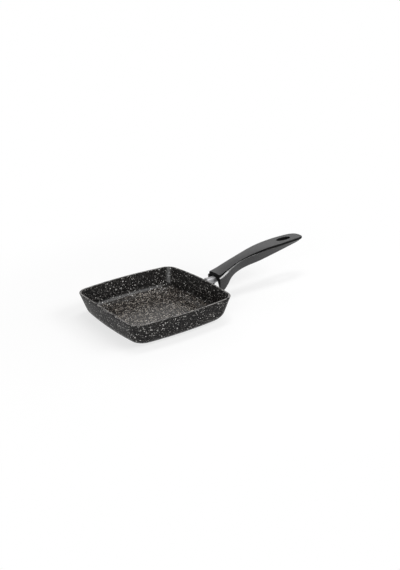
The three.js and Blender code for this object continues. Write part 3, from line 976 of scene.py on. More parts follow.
@dataclass
class HandleForm:
    """Curves that the handle's two mouldings, the tongue and the screws share."""

    rim: float
    top_sink: float = 0.00001  # keeps the smooth upper face under the solid's facets
    seam_crown: float = 0.0008
    tip_length: float = 0.017
    tip_bluntness: float = 3.0
    hole_along: float = 0.1172
    hole_length: float = 0.0226
    hole_width: float = 0.0096
    hole_edge: float = 0.0009
    hole_steps: int = 72
    flare_angle: float = 76.0  # degrees of the hole's rounded edge that are cut
    flare_points: int = 7
    flare_growth: float = 0.0005  # how far the cutting solid widens past the rounded edge
    flare_overrun: float = 0.002
    front: float = field(init=False)
    length: float = field(init=False)
    body_length: float = field(init=False)
    curves: dict[str, Curve] = field(init=False)

    def __post_init__(self) -> None:
        """Takes the handle's place from the frame and makes its curves."""
        low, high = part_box("handle_cover")
        self.front = low.x
        self.length = high.x - low.x
        self.body_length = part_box("handle_body")[1].x - low.x
        self.curves = {measure.name: self.curve(measure.name) for measure in fields(Section)}

    @staticmethod
    def curve(measure: str) -> Curve:
        """Smooth curve, in cubic pieces, through one measure of the sections.

        Args:
            measure: The measure's name.

        Returns:
            The curve, as a function of the place along the handle.
        """
        places = np.array([section.along for section in SECTIONS])
        values = np.array([getattr(section, measure) for section in SECTIONS])
        slopes = np.diff(values) / np.diff(places)
        ends = np.concatenate((slopes[:1], (slopes[:-1] + slopes[1:]) / 2.0, slopes[-1:]))

        def evaluate(along: np.ndarray) -> np.ndarray:
            """Reads the curve.

            Args:
                along: Places along the handle.

            Returns:
                The curve's values there.
            """
            k = np.clip(np.searchsorted(places, along, side="right") - 1, 0, len(places) - 2)
            span = places[k + 1] - places[k]
            t = (along - places[k]) / span
            return (
                (2.0 * t**3 - 3.0 * t**2 + 1.0) * values[k]
                + (t**3 - 2.0 * t**2 + t) * span * ends[k]
                + (3.0 * t**2 - 2.0 * t**3) * values[k + 1]
                + (t**3 - t**2) * span * ends[k + 1]
            )

        return evaluate

    def at(self, measure: str, along: np.ndarray | float) -> np.ndarray:
        """One of the handle's curves at some places along it."""
        return self.curves[measure](np.asarray(along, float))

    def top(self, along: np.ndarray, aside: np.ndarray) -> np.ndarray:
        """Height of the upper face at places along the handle and distances from its middle."""
        crown = self.at("crown", along) * (1.0 - (aside / self.at("cover", along)) ** 2)
        return self.rim + self.at("top", along) + crown - self.top_sink

    def seam(self, along: np.ndarray, aside: np.ndarray) -> np.ndarray:
        """Height of the joint between cover and body, at the same kind of places."""
        crown = self.seam_crown * (1.0 - (aside / self.at("cover", along)) ** 2)
        return self.rim + self.at("top", along) - self.at("edge", along) + crown

    def seam_middle(self, along: float) -> float:
        """Height of that joint on the handle's middle line."""
        return float(self.seam(np.array(along), np.array(0.0)))

    def tip_share(self, along: np.ndarray | float, length: float) -> np.ndarray:
        """Share of its width that a moulding of some length keeps towards its tip."""
        into = np.clip((along - (length - self.tip_length)) / self.tip_length, 0.0, 1.0)
        return (1.0 - into**self.tip_bluntness) ** (1.0 / self.tip_bluntness)

    def hole_tool(self) -> Piece:
        """Solid that cuts the hanging hole, flared where it meets the upper and the lower face.

        Returns:
            The cutting solid.
        """
        angles = np.linspace(0.0, 2.0 * math.pi, self.hole_steps, endpoint=False)
        flare = np.radians(np.linspace(0.0, self.flare_angle, self.flare_points))
        grown = self.hole_edge * (1.0 - np.cos(flare))
        sunk = self.hole_edge * (1.0 - np.sin(flare))
        edge = [*zip(grown, sunk), (grown[-1] + self.flare_growth, -self.flare_overrun)]
        rings = []
        for is_upper, line in ((False, edge[::-1]), (True, edge)):
            for grow, depth in line:
                along = self.hole_along + (self.hole_length / 2.0 + grow) * np.cos(angles)
                aside = (self.hole_width / 2.0 + grow) * np.sin(angles)
                if is_upper:
                    height = self.top(along, aside) - depth
                else:
                    height = self.rim + self.at("low", along) + depth
                rings.append(np.stack((self.front + along, aside, height), axis=1))
        return loft("hole_tool", rings)


@dataclass
class Bracket:
    """Boss on the wall and the metal stem, which flattens to a tongue inside the handle."""

    pan: PanBody
    form: HandleForm
    below_rim: float = 0.0047
    stem_half: float = 0.004
    stem_squareness: float = 4.0
    stem_bevel: float = 0.0005
    stem_gap: float = 0.00001  # between the stem's foot and the boss
    boss_half: float = 0.010
    boss_rise: float = 0.0028
    boss_drop: float = 0.013
    boss_thickness: float = 0.0036
    boss_corner: float = 0.0035
    boss_round: float = 0.0007
    weld: float = 0.0009
    tongue_half: float = 0.00575
    tongue_thickness: float = 0.004
    tongue_squareness: float = 6.0
    tongue_depth: float = 0.0052
    bend_along: float = 0.002
    bend_reach: float = 0.003
    flattening: float = 0.006
    tongue_start: float = 0.018
    tongue_end: float = 0.041
    screw_from_end: float = 0.006
    screw_spacing: float = 0.011
    screw_radius: float = 0.002
    corner_steps: int = 8
    weld_points: int = 5
    round_points: int = 6
    ring_steps: int = 48
    bend_points: int = 9
    height: float = field(init=False)
    face: float = field(init=False)
    start: np.ndarray = field(init=False)
    end: np.ndarray = field(init=False)
    tongue_length: float = field(init=False)
    tilt: float = field(init=False)
    screw_places: tuple[float, float] = field(init=False)

    def __post_init__(self) -> None:
        """Works out the stem's axis and the tongue's line."""
        self.height = self.pan.height - self.below_rim
        self.face = self.pan.wall_half(self.height) + FIT_GAP + self.boss_thickness
        places = np.array((self.tongue_start, self.tongue_end))
        heights = self.form.seam(places, self.form.at("cover", places)) - self.tongue_depth
        self.start = np.array((self.form.front + self.tongue_start, heights[0]))
        self.end = np.array((self.form.front + self.tongue_end, heights[1]))
        run = self.end - self.start
        self.tongue_length = float(np.hypot(*run))
        self.tilt = math.atan2(run[1], run[0])
        rear = self.tongue_length - self.screw_from_end
        self.screw_places = (rear - self.screw_spacing, rear)

    def on_tongue(self, place: float, above: float = 0.0) -> Matrix:
        """Frame on the tongue's axis, so far from its start and so far above it."""
        seat = Matrix.Translation((self.start[0], 0.0, self.start[1]))
        return seat @ Matrix.Rotation(-self.tilt, 4, "Y") @ Matrix.Translation((place, 0.0, above))

    def wall_at(self, aside: np.ndarray, height: np.ndarray) -> np.ndarray:
        """X of the pan's outer wall behind the boss."""
        half = self.pan.wall_half(height)
        return np.sqrt(self.pan.bow_radius**2 - aside**2) - (self.pan.bow_radius - half)

    def boss_outline(self, grow: float) -> np.ndarray:
        """Rounded outline of the boss, seen along the handle.

        Args:
            grow: How far outside the plain outline.

        Returns:
            Distance aside and height of each point.
        """
        radius = self.boss_corner + grow
        aside = self.boss_half - self.boss_corner
        high = self.height + self.boss_rise - self.boss_corner
        low = self.height - self.boss_drop + self.boss_corner
        corners = ((aside, high, 0.0), (-aside, high, 90.0), (-aside, low, 180.0), (aside, low, 270.0))
        arcs = [arc((across, level), radius, start, start + 90.0, self.corner_steps)
                for across, level, start in corners]
        return np.concatenate(arcs)

    def build_boss(self, aluminium: Material) -> Piece:
        """Builds the boss, with a weld bead where it meets the wall.

        Args:
            aluminium: The boss's material.

        Returns:
            The boss.
        """
        rings = []
        for turn in quarter(self.weld_points):
            outline = self.boss_outline(self.weld * (1.0 - math.sin(turn)))
            wall = self.wall_at(outline[:, 0], outline[:, 1])
            rings.append(np.column_stack((wall + self.weld * (1.0 - math.cos(turn)), outline)))
        for turn in quarter(self.round_points):
            outline = self.boss_outline(-self.boss_round * (1.0 - math.cos(turn)))
            x = self.face - self.boss_round * (1.0 - math.sin(turn))
            rings.append(np.column_stack((np.full(len(outline), x), outline)))
        boss = loft("wall_pad", rings)
        coat(boss, aluminium)
        return boss

    def stem_ring(self, centre: np.ndarray, tilt: float, flat: float, grow: float) -> Ring:
        """Ring across the stem or the tongue.

        Args:
            centre: X and Z of its middle.
            tilt: Slope of the axis.
            flat: 0 on the stem, 1 on the tongue.
            grow: Clearance all round.

        Returns:
            The ring.
        """
        half_width = self.stem_half + flat * (self.tongue_half - self.stem_half) + grow
        half_thick = self.stem_half + flat * (self.tongue_thickness / 2.0 - self.stem_half) + grow
        power = 2.0 / (self.stem_squareness + flat * (self.tongue_squareness - self.stem_squareness))
        angles = np.linspace(0.0, 2.0 * math.pi, self.ring_steps, endpoint=False)
        across, up = np.cos(angles), np.sin(angles)
        aside = half_width * np.sign(across) * np.abs(across) ** power
        rise = half_thick * np.sign(up) * np.abs(up) ** power
        x = centre[0] - rise * math.sin(tilt)
        z = centre[1] + rise * math.cos(tilt)
        return np.stack((x, aside, z), axis=1)

    def stem_rings(self, grow: float, first: float) -> list[Ring]:
        """Rings from the boss to the tongue's end.

        Args:
            grow: Clearance all round.
            first: X of the first ring.

        Returns:
            The rings.
        """
        bend = np.array((self.form.front + self.bend_along, self.height))
        riser = self.start - bend
        lean = math.atan2(riser[1], riser[0])
        step = riser / np.hypot(*riser)
        before = bend - np.array((self.bend_reach, 0.0))
        after = bend + step * self.bend_reach
        flat_from = self.start - step * self.flattening
        rings = [self.stem_ring(np.array((first, self.height)), 0.0, 0.0, grow)]
        for t in np.linspace(0.0, 1.0, self.bend_points):
            centre = (1.0 - t) ** 2 * before + 2.0 * t * (1.0 - t) * bend + t**2 * after
            rings.append(self.stem_ring(centre, t * lean, 0.0, grow))
        for t in np.linspace(0.0, 1.0, self.bend_points):
            centre = flat_from + t * (self.start - flat_from)
            tilt = lean + t * t * (self.tilt - lean)
            rings.append(self.stem_ring(centre, tilt, float(smooth_step(t, 0.0, 1.0)), grow))
        run = (self.end - self.start) / self.tongue_length
        for place in (0.5 * self.tongue_length, self.tongue_length + grow):
            rings.append(self.stem_ring(self.start + run * place, self.tilt, 1.0, grow))
        return rings

    def build_stem(self, steel: Material) -> Piece:
        """Builds the stem, with a bevelled foot and the tongue's two screw holes.

        Args:
            steel: The stem's material.

        Returns:
            The stem.
        """
        foot_middle = np.array((self.face + self.stem_gap, self.height))
        foot = self.stem_ring(foot_middle, 0.0, 0.0, -self.stem_bevel)
        stem = loft("metal_stem", [foot, *self.stem_rings(0.0, self.face + self.stem_bevel)])
        radius = self.screw_radius + FIT_GAP
        hole = ((radius, -OVERRUN), (radius, OVERRUN))
        carve(stem, [lathe("screw_hole", hole, self.on_tongue(place)) for place in self.screw_places])
        coat(stem, steel)
        return stem


class ScrewStack(NamedTuple):
    """Heights of one cover screw's stack."""

    boss_end: float
    pocket: float
    seat: float


@dataclass
class Fasteners:
    """Screws that hold the body to the tongue and the cover to the body, and the cover's inserts.

    The cover screw's dome holds shares of the head's radius and height, and the insert's groove shares
    of its length.
    """

    form: HandleForm
    bracket: Bracket
    web: float = 0.0005
    head_radius: float = 0.00375
    head_height: float = 0.0022
    head_rim: float = 0.0002
    point_height: float = 0.0004
    point_share: float = 0.8
    cover_places: tuple[float, float] = (0.058, 0.084)
    cover_shank: float = 0.0015
    cover_head: float = 0.0028
    cover_head_height: float = 0.002
    cover_dome: tuple[tuple[float, float], ...] = ((0.55, 1.0), (0.8, 0.93), (0.95, 0.72), (1.0, 0.4))
    cover_point_height: float = 0.0006
    cover_point_share: float = 0.6
    cover_web: float = 0.0015
    boss_radius: float = 0.0045
    boss_length: float = 0.005
    insert_radius: float = 0.0025
    insert_length: float = 0.004
    insert_chamfer: float = 0.0003
    insert_groove: tuple[float, float, float, float] = (0.42, 0.46, 0.54, 0.58)
    slot_length: float = 0.0032
    slot_width: float = 0.0008
    slot_depth: float = 0.0011
    slot_taper: float = 0.7

    def stack(self, along: float) -> ScrewStack:
        """Heights of the boss's end, the pocket's floor and the head's seat at one cover screw."""
        end = self.form.seam_middle(along) - self.boss_length
        return ScrewStack(end, end - FIT_GAP, end - FIT_GAP - self.cover_web)

    def upright(self, along: float) -> Matrix:
        """Frame on the handle's middle line, with heights as they are."""
        return Matrix.Translation((self.form.front + along, 0.0, 0.0))

    def on_middle(self, along: float, height: float) -> Vector:
        """Point above the handle's middle line."""
        return Vector((self.form.front + along, 0.0, height))

    def head_foot(self) -> float:
        """Height of a bracket screw's cone above the tongue's axis."""
        return self.bracket.tongue_thickness / 2.0 + FIT_GAP + self.web

    def countersunk(self, grow: float, above: float) -> list[tuple[float, float]]:
        """Profile of a bracket screw, with its cone's foot at height 0.

        Args:
            grow: Clearance all round.
            above: Height carried on above the head.

        Returns:
            Radius and height of each point.
        """
        shank = self.bracket.screw_radius + grow
        head = self.head_radius + grow
        tip = -(self.web + self.bracket.tongue_thickness)
        point = [(shank * self.point_share, tip), (shank, tip + self.point_height), (shank, 0.0)]
        return [*point, (head, self.head_height), (head, self.head_height + above)]

    def cross(self, place: Matrix, low: float, high: float) -> list[Piece]:
        """Two bars that cut a cross recess, narrower at its bottom.

        Args:
            place: The screw's frame.
            low: Bottom of the recess.
            high: Top of the recess.

        Returns:
            The bars.
        """
        bars = []
        for sizes in ((self.slot_length, self.slot_width), (self.slot_width, self.slot_length)):
            corners = np.array(((1, 1), (-1, 1), (-1, -1), (1, -1))) * (np.array(sizes) / 2.0)
            outlines = ((corners * self.slot_taper, low), (corners, high))
            rings = [np.column_stack((outline, np.full(4, height))) for outline, height in outlines]
            bar = loft("cross_bar", rings)
            bar.data.transform(place)
            bars.append(bar)
        return bars

    def pattern_tree(self) -> GeometryGraph:
        """Tree that sets one fastener at each vertex of a mesh, tilted about Y.

        Returns:
            The tree.
        """
        graph = GeometryGraph("fastener_pattern", {"Fastener": "Object", "Tilt": "Float"})
        shape = graph.add("GeometryNodeObjectInfo", {"Object": graph.inputs["Fastener"]})
        turn = graph.add("ShaderNodeCombineXYZ", {"Y": graph.inputs["Tilt"]})
        copies = graph.add("GeometryNodeInstanceOnPoints", {
            "Points": graph.inputs["Geometry"], "Instance": shape.outputs["Geometry"],
            "Rotation": turn.outputs[0],
        })
        graph.end(copies.outputs[0])
        return graph

    def set_out(self, name: str, shape: Piece, places: Sequence[Vector], tilt: float,
                material: Material) -> Piece:
        """Sets a fastener at each place and keeps the result as plain mesh.

        Args:
            name: The piece's name.
            shape: One fastener, drawn at the origin.
            places: Where it is set.
            tilt: Turn about Y.
            material: The fasteners' material.

        Returns:
            The piece.
        """
        mesh = bpy.data.meshes.new(name)
        mesh.from_pydata([tuple(place) for place in places], [], [])
        values = {"Fastener": shape, "Tilt": tilt, "Material": material}
        piece = self.pattern_tree().grow(name, mesh, values)
        bpy.data.objects.remove(shape)
        return piece

    def build_bracket_screws(self, steel: Material) -> Piece:
        """Builds the countersunk screws that hold the body to the tongue.

        Args:
            steel: The screws' material.

        Returns:
            The screws.
        """
        here = Matrix.Identity(4)
        screw = lathe("sunk_screw", self.countersunk(0.0, self.head_rim), here)
        top = self.head_height + self.head_rim
        carve(screw, self.cross(here, top - self.slot_depth, top + OVERRUN))
        frames = [self.bracket.on_tongue(place, self.head_foot()) for place in self.bracket.screw_places]
        seats = [seat.translation for seat in frames]
        return self.set_out("bracket_screws", screw, seats, -self.bracket.tilt, steel)

    def build_cover_screws(self, steel: Material) -> Piece:
        """Builds the domed screws that hold the cover to the body, with their heads below.

        Args:
            steel: The screws' material.

        Returns:
            The screws.
        """
        reach = self.cover_web + 2.0 * FIT_GAP + self.insert_length
        head, shank, tall = self.cover_head, self.cover_shank, self.cover_head_height
        dome = [(head * across, -tall * down) for across, down in self.cover_dome]
        point = [(shank, reach - self.cover_point_height), (shank * self.cover_point_share, reach)]
        screw = lathe("cover_screw", [*dome, (head, 0.0), (shank, 0.0), *point], Matrix.Identity(4))
        upside_down = Matrix.Rotation(math.pi, 4, "X")
        carve(screw, self.cross(upside_down, tall - self.slot_depth, tall + OVERRUN))
        seats = [self.on_middle(along, self.stack(along).seat - FIT_GAP) for along in self.cover_places]
        return self.set_out("cover_screws", screw, seats, 0.0, steel)

    def build_inserts(self, brass: Material) -> Piece:
        """Builds the grooved sleeves that the cover screws turn into.

        Args:
            brass: The inserts' material.

        Returns:
            The inserts.
        """
        here = Matrix.Identity(4)
        radius, length = self.insert_radius, self.insert_length
        waist = radius - self.insert_chamfer
        start, low, high, end = (length * share for share in self.insert_groove)
        sleeve = lathe("insert", (
            (waist, 0.0), (radius, self.insert_chamfer), (radius, start), (waist, low),
            (waist, high), (radius, end), (radius, length),
        ), here)
        bore = self.cover_shank + FIT_GAP
        carve(sleeve, [lathe("insert_bore", ((bore, -OVERRUN), (bore, 2.0 * OVERRUN)), here)])
        seats = [self.on_middle(along, self.stack(along).boss_end) for along in self.cover_places]
        return self.set_out("cover_inserts", sleeve, seats, 0.0, brass)


@dataclass
class HandleBody:
    """Lower moulding: two legs and an arch at the front, a slim grip behind.

    The ledge's shares are the places of its points across it. Where the body is narrow, the radius of a
    leg's inner edge is the underside's half width divided by edge_parts, and at least edge_room such radii
    of the underside stay beside the arch. The leans are the parts of a face's normal past which it looks
    inwards, forwards or up.
    """

    form: HandleForm
    bracket: Bracket
    fasteners: Fasteners
    least_half: float = 0.0004
    leg_wall: float = 0.002
    arch_roof: float = 0.0015
    arch_rise: float = 0.017
    arch_from: float = 0.0175
    arch_end: float = 0.0235
    ledge_slope: float = math.radians(29.0)
    ledge_least: float = 0.0004
    ledge_round: float = 0.0009
    ledge_shares: tuple[float, ...] = (0.06, 0.5, 0.94)
    front_round: float = 0.0006
    leg_edge: float = 0.0006
    edge_parts: float = 3.0
    edge_room: float = 1.3
    inner_lean: float = 0.3
    front_lean: float = 0.5
    ledge_lean: float = 0.6
    polish_length: float = 0.015
    seam_points: int = 12
    side_steps: int = 12
    bottom_steps: int = 8
    edge_steps: int = 4
    leg_steps: int = 6
    vault_points: int = 19
    front_points: int = 6
    arch_points: int = 16
    closing_points: int = 14
    grip_points: int = 80
    tip_points: int = 20

    def ring(self, along: float, inset: float) -> Ring:
        """Outline across the body, with the arch drawn in from below.

        Args:
            along: Place along the handle.
            inset: How far inside the full outline, where the front is rounded off.

        Returns:
            The ring.
        """
        form = self.form
        share = float(form.tip_share(along, form.body_length))
        half = max(float(form.at("body", along)) * share, self.least_half) - inset
        foot = max(float(form.at("foot", along)) * share, self.least_half) - inset
        low = form.rim + float(form.at("low", along)) + inset
        ledge = max(half - float(form.at("cover", along)), min(self.ledge_least, half / 2.0))
        across = np.linspace(0.0, half - ledge, self.seam_points)
        seam = form.seam(np.full(self.seam_points, along), across) - FIT_GAP / 2.0 - inset
        corner = self.ledge_line(half, seam[-1], ledge)
        radius = min(float(form.at("round", along)), (corner[-1, 1] - low) / 2.0, foot / 2.0)
        bottom = arc((foot - radius, low + radius), radius, 0.0, -90.0, self.bottom_steps)
        shares = np.linspace(0.0, 1.0, self.side_steps, endpoint=False)[1:, None]
        straight = corner[-1] + shares * (bottom[0] - corner[-1])
        inner = self.arch_line(along, inset, foot - radius, low)
        right = np.concatenate((np.column_stack((across, seam)), corner, straight, bottom, inner))
        left = right[1:-1][::-1] * np.array((-1.0, 1.0))
        ring = np.concatenate((right, left))
        return np.column_stack((np.full(len(ring), form.front + along), ring))

    def ledge_line(self, half: float, seat: float, ledge: float) -> np.ndarray:
        """Sloping ledge beside the cover and its rounded outer edge.

        Args:
            half: Half width of the body.
            seat: Height where the ledge starts.
            ledge: The ledge's width.

        Returns:
            Distance aside and height of each point, after the ledge's start.
        """
        radius = min(self.ledge_round, ledge / 2.0)
        end = seat - ledge * math.tan(self.ledge_slope)
        centre = end - radius * (1.0 - math.sin(self.ledge_slope)) / math.cos(self.ledge_slope)
        slope = math.degrees(self.ledge_slope)
        edge = arc((half - radius, centre), radius, 90.0 - slope, 0.0, self.edge_steps)
        start = np.array((half - ledge, seat))
        shares = np.array(self.ledge_shares)[:, None]
        return np.concatenate((start + shares * (edge[0] - start), edge))

    def arch_line(self, along: float, inset: float, limit: float, low: float) -> np.ndarray:
        """Inner side of a leg and half of the arch, flattened out behind the arch's end.

        Args:
            along: Place along the handle.
            inset: How far outside the full arch, where the front is rounded off.
            limit: Where the leg's flat underside starts.
            low: Height of the underside.

        Returns:
            Distance aside and height of each point, from the leg's foot to the arch's top.
        """
        radius = min(self.leg_edge, limit / self.edge_parts)
        widest = float(self.form.at("body", along)) - self.leg_wall + inset
        half = min(widest, limit - self.edge_room * radius)
        roof = self.form.seam_middle(along) - FIT_GAP / 2.0 - self.arch_roof + inset
        edge = arc((half + radius, low + radius), radius, 270.0, 180.0, self.edge_steps)
        spring = max(roof - self.arch_rise, edge[-1, 1] + radius)
        heights = np.linspace(edge[-1, 1], spring, self.leg_steps + 1)[1:]
        leg = np.column_stack((np.full(self.leg_steps, half), heights))
        turn = quarter(self.vault_points)[1:]
        vault = np.column_stack((half * np.cos(turn), spring + (roof - spring) * np.sin(turn)))
        line = np.concatenate((edge, leg, vault))
        open_share = 1.0 - float(smooth_step(along, self.arch_from, self.arch_end))
        line[:, 1] = low + (line[:, 1] - low) * open_share
        return line

    def finish_of(self, face: bpy.types.MeshPolygon) -> GripFinish:
        """Finish of one face: near-black painted shade in front and inwards, polished on the ledge where a
        thumb rubs it.

        Args:
            face: The face.

        Returns:
            The finish.
        """
        is_inward = face.normal.y * math.copysign(1.0, face.center.y) < -self.inner_lean
        # faces in front and inside the arch get the near-black painted shade
        if is_inward or face.normal.x < -self.front_lean:
            return GripFinish.DULL
        if face.normal.z > self.ledge_lean and face.center.x < self.form.front + self.polish_length:
            return GripFinish.POLISHED
        return GripFinish.SMOOTH

    def build(self, smooth: Material, dull: Material, polished: Material) -> Piece:
        """Builds the body and cuts the tongue's slot, the screws' seats and the hanging hole.

        Args:
            smooth: Material of the outer faces.
            dull: Near-black material of the front and of the faces that look inwards: painted shade.
            polished: Material of the ledge beside the cover, at the front.

        Returns:
            The body.
        """
        form, depth = self.form, self.front_round
        rings = [self.ring(depth * (1.0 - math.sin(turn)), depth * (1.0 - math.cos(turn)))
                 for turn in quarter(self.front_points)[::-1]]
        tail = form.body_length - form.tip_length
        places = np.concatenate((
            np.linspace(depth, self.arch_from, self.arch_points)[1:],
            np.linspace(self.arch_from, self.arch_end, self.closing_points)[1:],
            np.linspace(self.arch_end, tail, self.grip_points)[1:],
            tail + form.tip_length * np.sin(quarter(self.tip_points))[1:],
        ))
        rings.extend(self.ring(float(place), 0.0) for place in places)
        body = loft("grip_body", rings)
        carve(body, self.tools())
        coat(body, smooth, dull, polished)
        for face in body.data.polygons:
            face.material_index = self.finish_of(face).value
        return body

    def tools(self) -> list[Piece]:
        """Solids that are cut from the body.

        Returns:
            The cutting solids.
        """
        fasteners, bracket = self.fasteners, self.bracket
        tools = [loft("tongue_slot", bracket.stem_rings(FIT_GAP, bracket.face)), self.form.hole_tool()]
        for place in bracket.screw_places:
            profile = fasteners.countersunk(FIT_GAP, OVERRUN)
            tools.append(lathe("sunk_seat", profile, bracket.on_tongue(place, fasteners.head_foot())))
        for along in fasteners.cover_places:
            stack = fasteners.stack(along)
            top = stack.boss_end + fasteners.boss_length + OVERRUN
            bottom = self.form.rim + float(self.form.at("low", along)) - OVERRUN
            bores = (
                ("boss_pocket", fasteners.boss_radius, stack.pocket, top),
                ("shank_hole", fasteners.cover_shank, bottom, top),
                ("head_recess", fasteners.cover_head, bottom, stack.seat),
            )
            for name, radius, start, end in bores:
                profile = ((radius + FIT_GAP, start), (radius + FIT_GAP, end))
                tools.append(lathe(name, profile, fasteners.upright(along)))
        return tools


@dataclass
class HandleCover:
    """Upper moulding: a thin crowned shell, rounded all along its edge, with bosses for the inserts."""

    form: HandleForm
    fasteners: Fasteners
    edge_round: float = 0.0011
    lower_round: float = 0.0003
    front_corner: float = 0.0018
    edge_share: float = 0.36  # of the cover's depth, the most that a rounding takes
    boss_root: float = 0.0008  # how far a boss runs into the shell
    top_lean: float = math.cos(math.radians(27.0))  # upward part of a normal on the upper face
    across_steps: int = 15
    corner_points: int = 8
    grip_points: int = 90
    tip_points: int = 28
    upper_points: int = 7
    lower_points: int = 4

    def stations(self) -> np.ndarray:
        """Places along the cover's outline, closer together at its ends.

        Returns:
            The places.
        """
        tip_length = self.form.tip_length
        tip = self.form.length - tip_length
        corner = self.front_corner * (1.0 - np.cos(quarter(self.corner_points)))
        grip = np.linspace(self.front_corner, tip, self.grip_points)[1:]
        end = tip + tip_length * np.sin(quarter(self.tip_points))[1:]
        return np.concatenate((corner, grip, end))

    def half_width(self, along: np.ndarray) -> np.ndarray:
        """Half width of the outline in plan.

        Args:
            along: Places along the handle.

        Returns:
            The half widths.
        """
        lack = np.clip(self.front_corner - along, 0.0, self.front_corner)
        corner = self.front_corner - np.sqrt(self.front_corner**2 - lack**2)
        return self.form.at("cover", along) * self.form.tip_share(along, self.form.length) - corner

    def rows(self, inset: float) -> tuple[np.ndarray, np.ndarray]:
        """Outline in plan, moved inwards.

        Args:
            inset: How far inside the full outline.

        Returns:
            Place along and half width of each station.
        """
        along = self.stations()
        half = self.half_width(along) * (1.0 - inset / self.form.at("cover", along))
        return inset + along * (self.form.length - 2.0 * inset) / self.form.length, half

    def loop(self, turn: float, upper: bool) -> Ring:
        """Closed line round the cover, on its rounded edge.

        Args:
            turn: The edge's angle: 0 on the side, a quarter turn on the face.
            upper: Whether it belongs to the upper face.

        Returns:
            The line: right side to the tip, left side back, then across the front.
        """
        radius = self.edge_round if upper else self.lower_round
        along, half = self.rows(radius * (1.0 - math.cos(turn)))
        shares = np.linspace(-1.0, 1.0, self.across_steps + 2)[1:-1]
        place = np.concatenate((along, along[::-1], np.full(self.across_steps, along[0])))
        aside = np.concatenate((half, -half[::-1], half[0] * shares))
        depth = np.minimum(radius, self.edge_share * self.form.at("edge", place))
        return self.lifted(place, aside, depth * (1.0 - math.sin(turn)), upper)

    def lifted(self, along: np.ndarray, aside: np.ndarray, drop: np.ndarray | float,
               upper: bool) -> np.ndarray:
        """Sets points of the plan on the upper or the lower face.

        Args:
            along: Places along the handle.
            aside: Distances from its middle.
            drop: How far inside the face.
            upper: Whether the upper face is meant.

        Returns:
            The points.
        """
        if upper:
            height = self.form.top(along, aside) - drop
        else:
            height = self.form.seam(along, aside) + FIT_GAP / 2.0 + drop
        return np.stack((self.form.front + along, aside, height), axis=-1)

    def face_grid(self, inset: float, upper: bool, first: int,
                  offset: int) -> tuple[np.ndarray, list[list[int]]]:
        """Fills the upper or the lower face inside its innermost line.

        Args:
            inset: Inset of that line.
            upper: Whether the upper face is meant.
            first: Number of the line's first vertex.
            offset: Number that the grid's first vertex gets.

        Returns:
            The grid's points and the faces between them and the line.
        """
        along, half = self.rows(inset)
        count = len(along)
        shares = np.linspace(1.0, -1.0, self.across_steps + 2)[1:-1]
        aside = half[1:, None] * shares[None, :]
        place = np.repeat(along[1:, None], self.across_steps, axis=1)
        points = self.lifted(place, aside, 0.0, upper).reshape(-1, 3)
        numbers = np.empty((count, self.across_steps + 2), int)
        numbers[:, 0] = first + np.arange(count)
        numbers[:, -1] = first + 2 * count - 1 - np.arange(count)
        numbers[0, 1:-1] = first + 2 * count + np.arange(self.across_steps)[::-1]
        numbers[1:, 1:-1] = offset + np.arange((count - 1) * self.across_steps).reshape(count - 1, -1)
        corners = (numbers[:-1, :-1], numbers[:-1, 1:], numbers[1:, 1:], numbers[1:, :-1])
        return points, np.stack(corners, axis=-1).reshape(-1, 4).tolist()

    def build(self, top: Material, side: Material) -> Piece:
        """Builds the cover, its bosses and the hanging hole.

        Args:
            top: Material of the textured upper face.
            side: Near-black material of the smooth edge and of what is inside: a darker moulding colour,
                painted darker still as shade.

        Returns:
            The cover.
        """
        loops = [self.loop(turn, True) for turn in quarter(self.upper_points)[::-1]]
        loops.extend(self.loop(turn, False) for turn in quarter(self.lower_points))
        count = len(loops[0])
        faces = bands(count, len(loops))
        points = list(loops)
        last = count * (len(loops) - 1)
        for inset, is_upper, first in ((self.edge_round, True, 0), (self.lower_round, False, last)):
            grid, cells = self.face_grid(inset, is_upper, first, sum(len(part) for part in points))
            points.append(grid)
            faces.extend(cells)
        cover = solid_object("grip_cover", np.concatenate(points), faces)
        self.add_bosses(cover)
        carve(cover, [self.form.hole_tool()])
        coat(cover, top, side)
        # faces that don't look up get the near-black edge material: darker moulding, and painted shade
        for face in cover.data.polygons:
            face.material_index = int(face.normal.z <= self.top_lean)
        return cover

    def add_bosses(self, cover: Piece) -> None:
        """Adds the hollow bosses that take the inserts.

        Args:
            cover: The cover.
        """
        fasteners = self.fasteners
        radius = fasteners.boss_radius
        bore = fasteners.insert_radius + FIT_GAP
        bosses, bores = [], []
        for along in fasteners.cover_places:
            place = fasteners.upright(along)
            end = fasteners.stack(along).boss_end
            inside = end + fasteners.boss_length + self.boss_root
            bore_end = end + fasteners.insert_length + FIT_GAP
            bosses.append(lathe("insert_boss", ((radius, end), (radius, inside)), place))
            bores.append(lathe("boss_bore", ((bore, end - OVERRUN), (bore, bore_end)), place))
        carve(cover, bosses, Cut.JOINED)
        carve(cover, bores)


# Studio


@dataclass(frozen=True)
class PhotoView:
    """The camera, at the photograph's place and angle."""

    eye: tuple[float, float, float] = (-0.44564, -0.74398, 0.38875)
    azimuth: float = math.radians(-34.664)
    elevation: float = math.radians(21.904)
    roll: float = math.radians(-2.105)
    lens: float = 48.435
    sensor: float = 36.0

    def build(self) -> None:
        """Makes the camera and hands it to the scene."""
        data = bpy.data.cameras.new("photo_camera")
        data.lens = self.lens
        data.sensor_width = self.sensor
        back = Vector((
            math.sin(self.azimuth) * math.cos(self.elevation),
            -math.cos(self.azimuth) * math.cos(self.elevation),
            math.sin(self.elevation),
        ))
        right = Vector((math.cos(self.azimuth), math.sin(self.azimuth), 0.0))
        up = back.cross(right)
        turned_right = math.cos(self.roll) * right + math.sin(self.roll) * up
        turned_up = math.cos(self.roll) * up - math.sin(self.roll) * right
        turn = Matrix((turned_right, turned_up, back)).transposed().to_4x4()
        camera = link("photo_camera", data)
        camera.matrix_world = Matrix.Translation(self.eye) @ turn
        bpy.context.scene.camera = camera


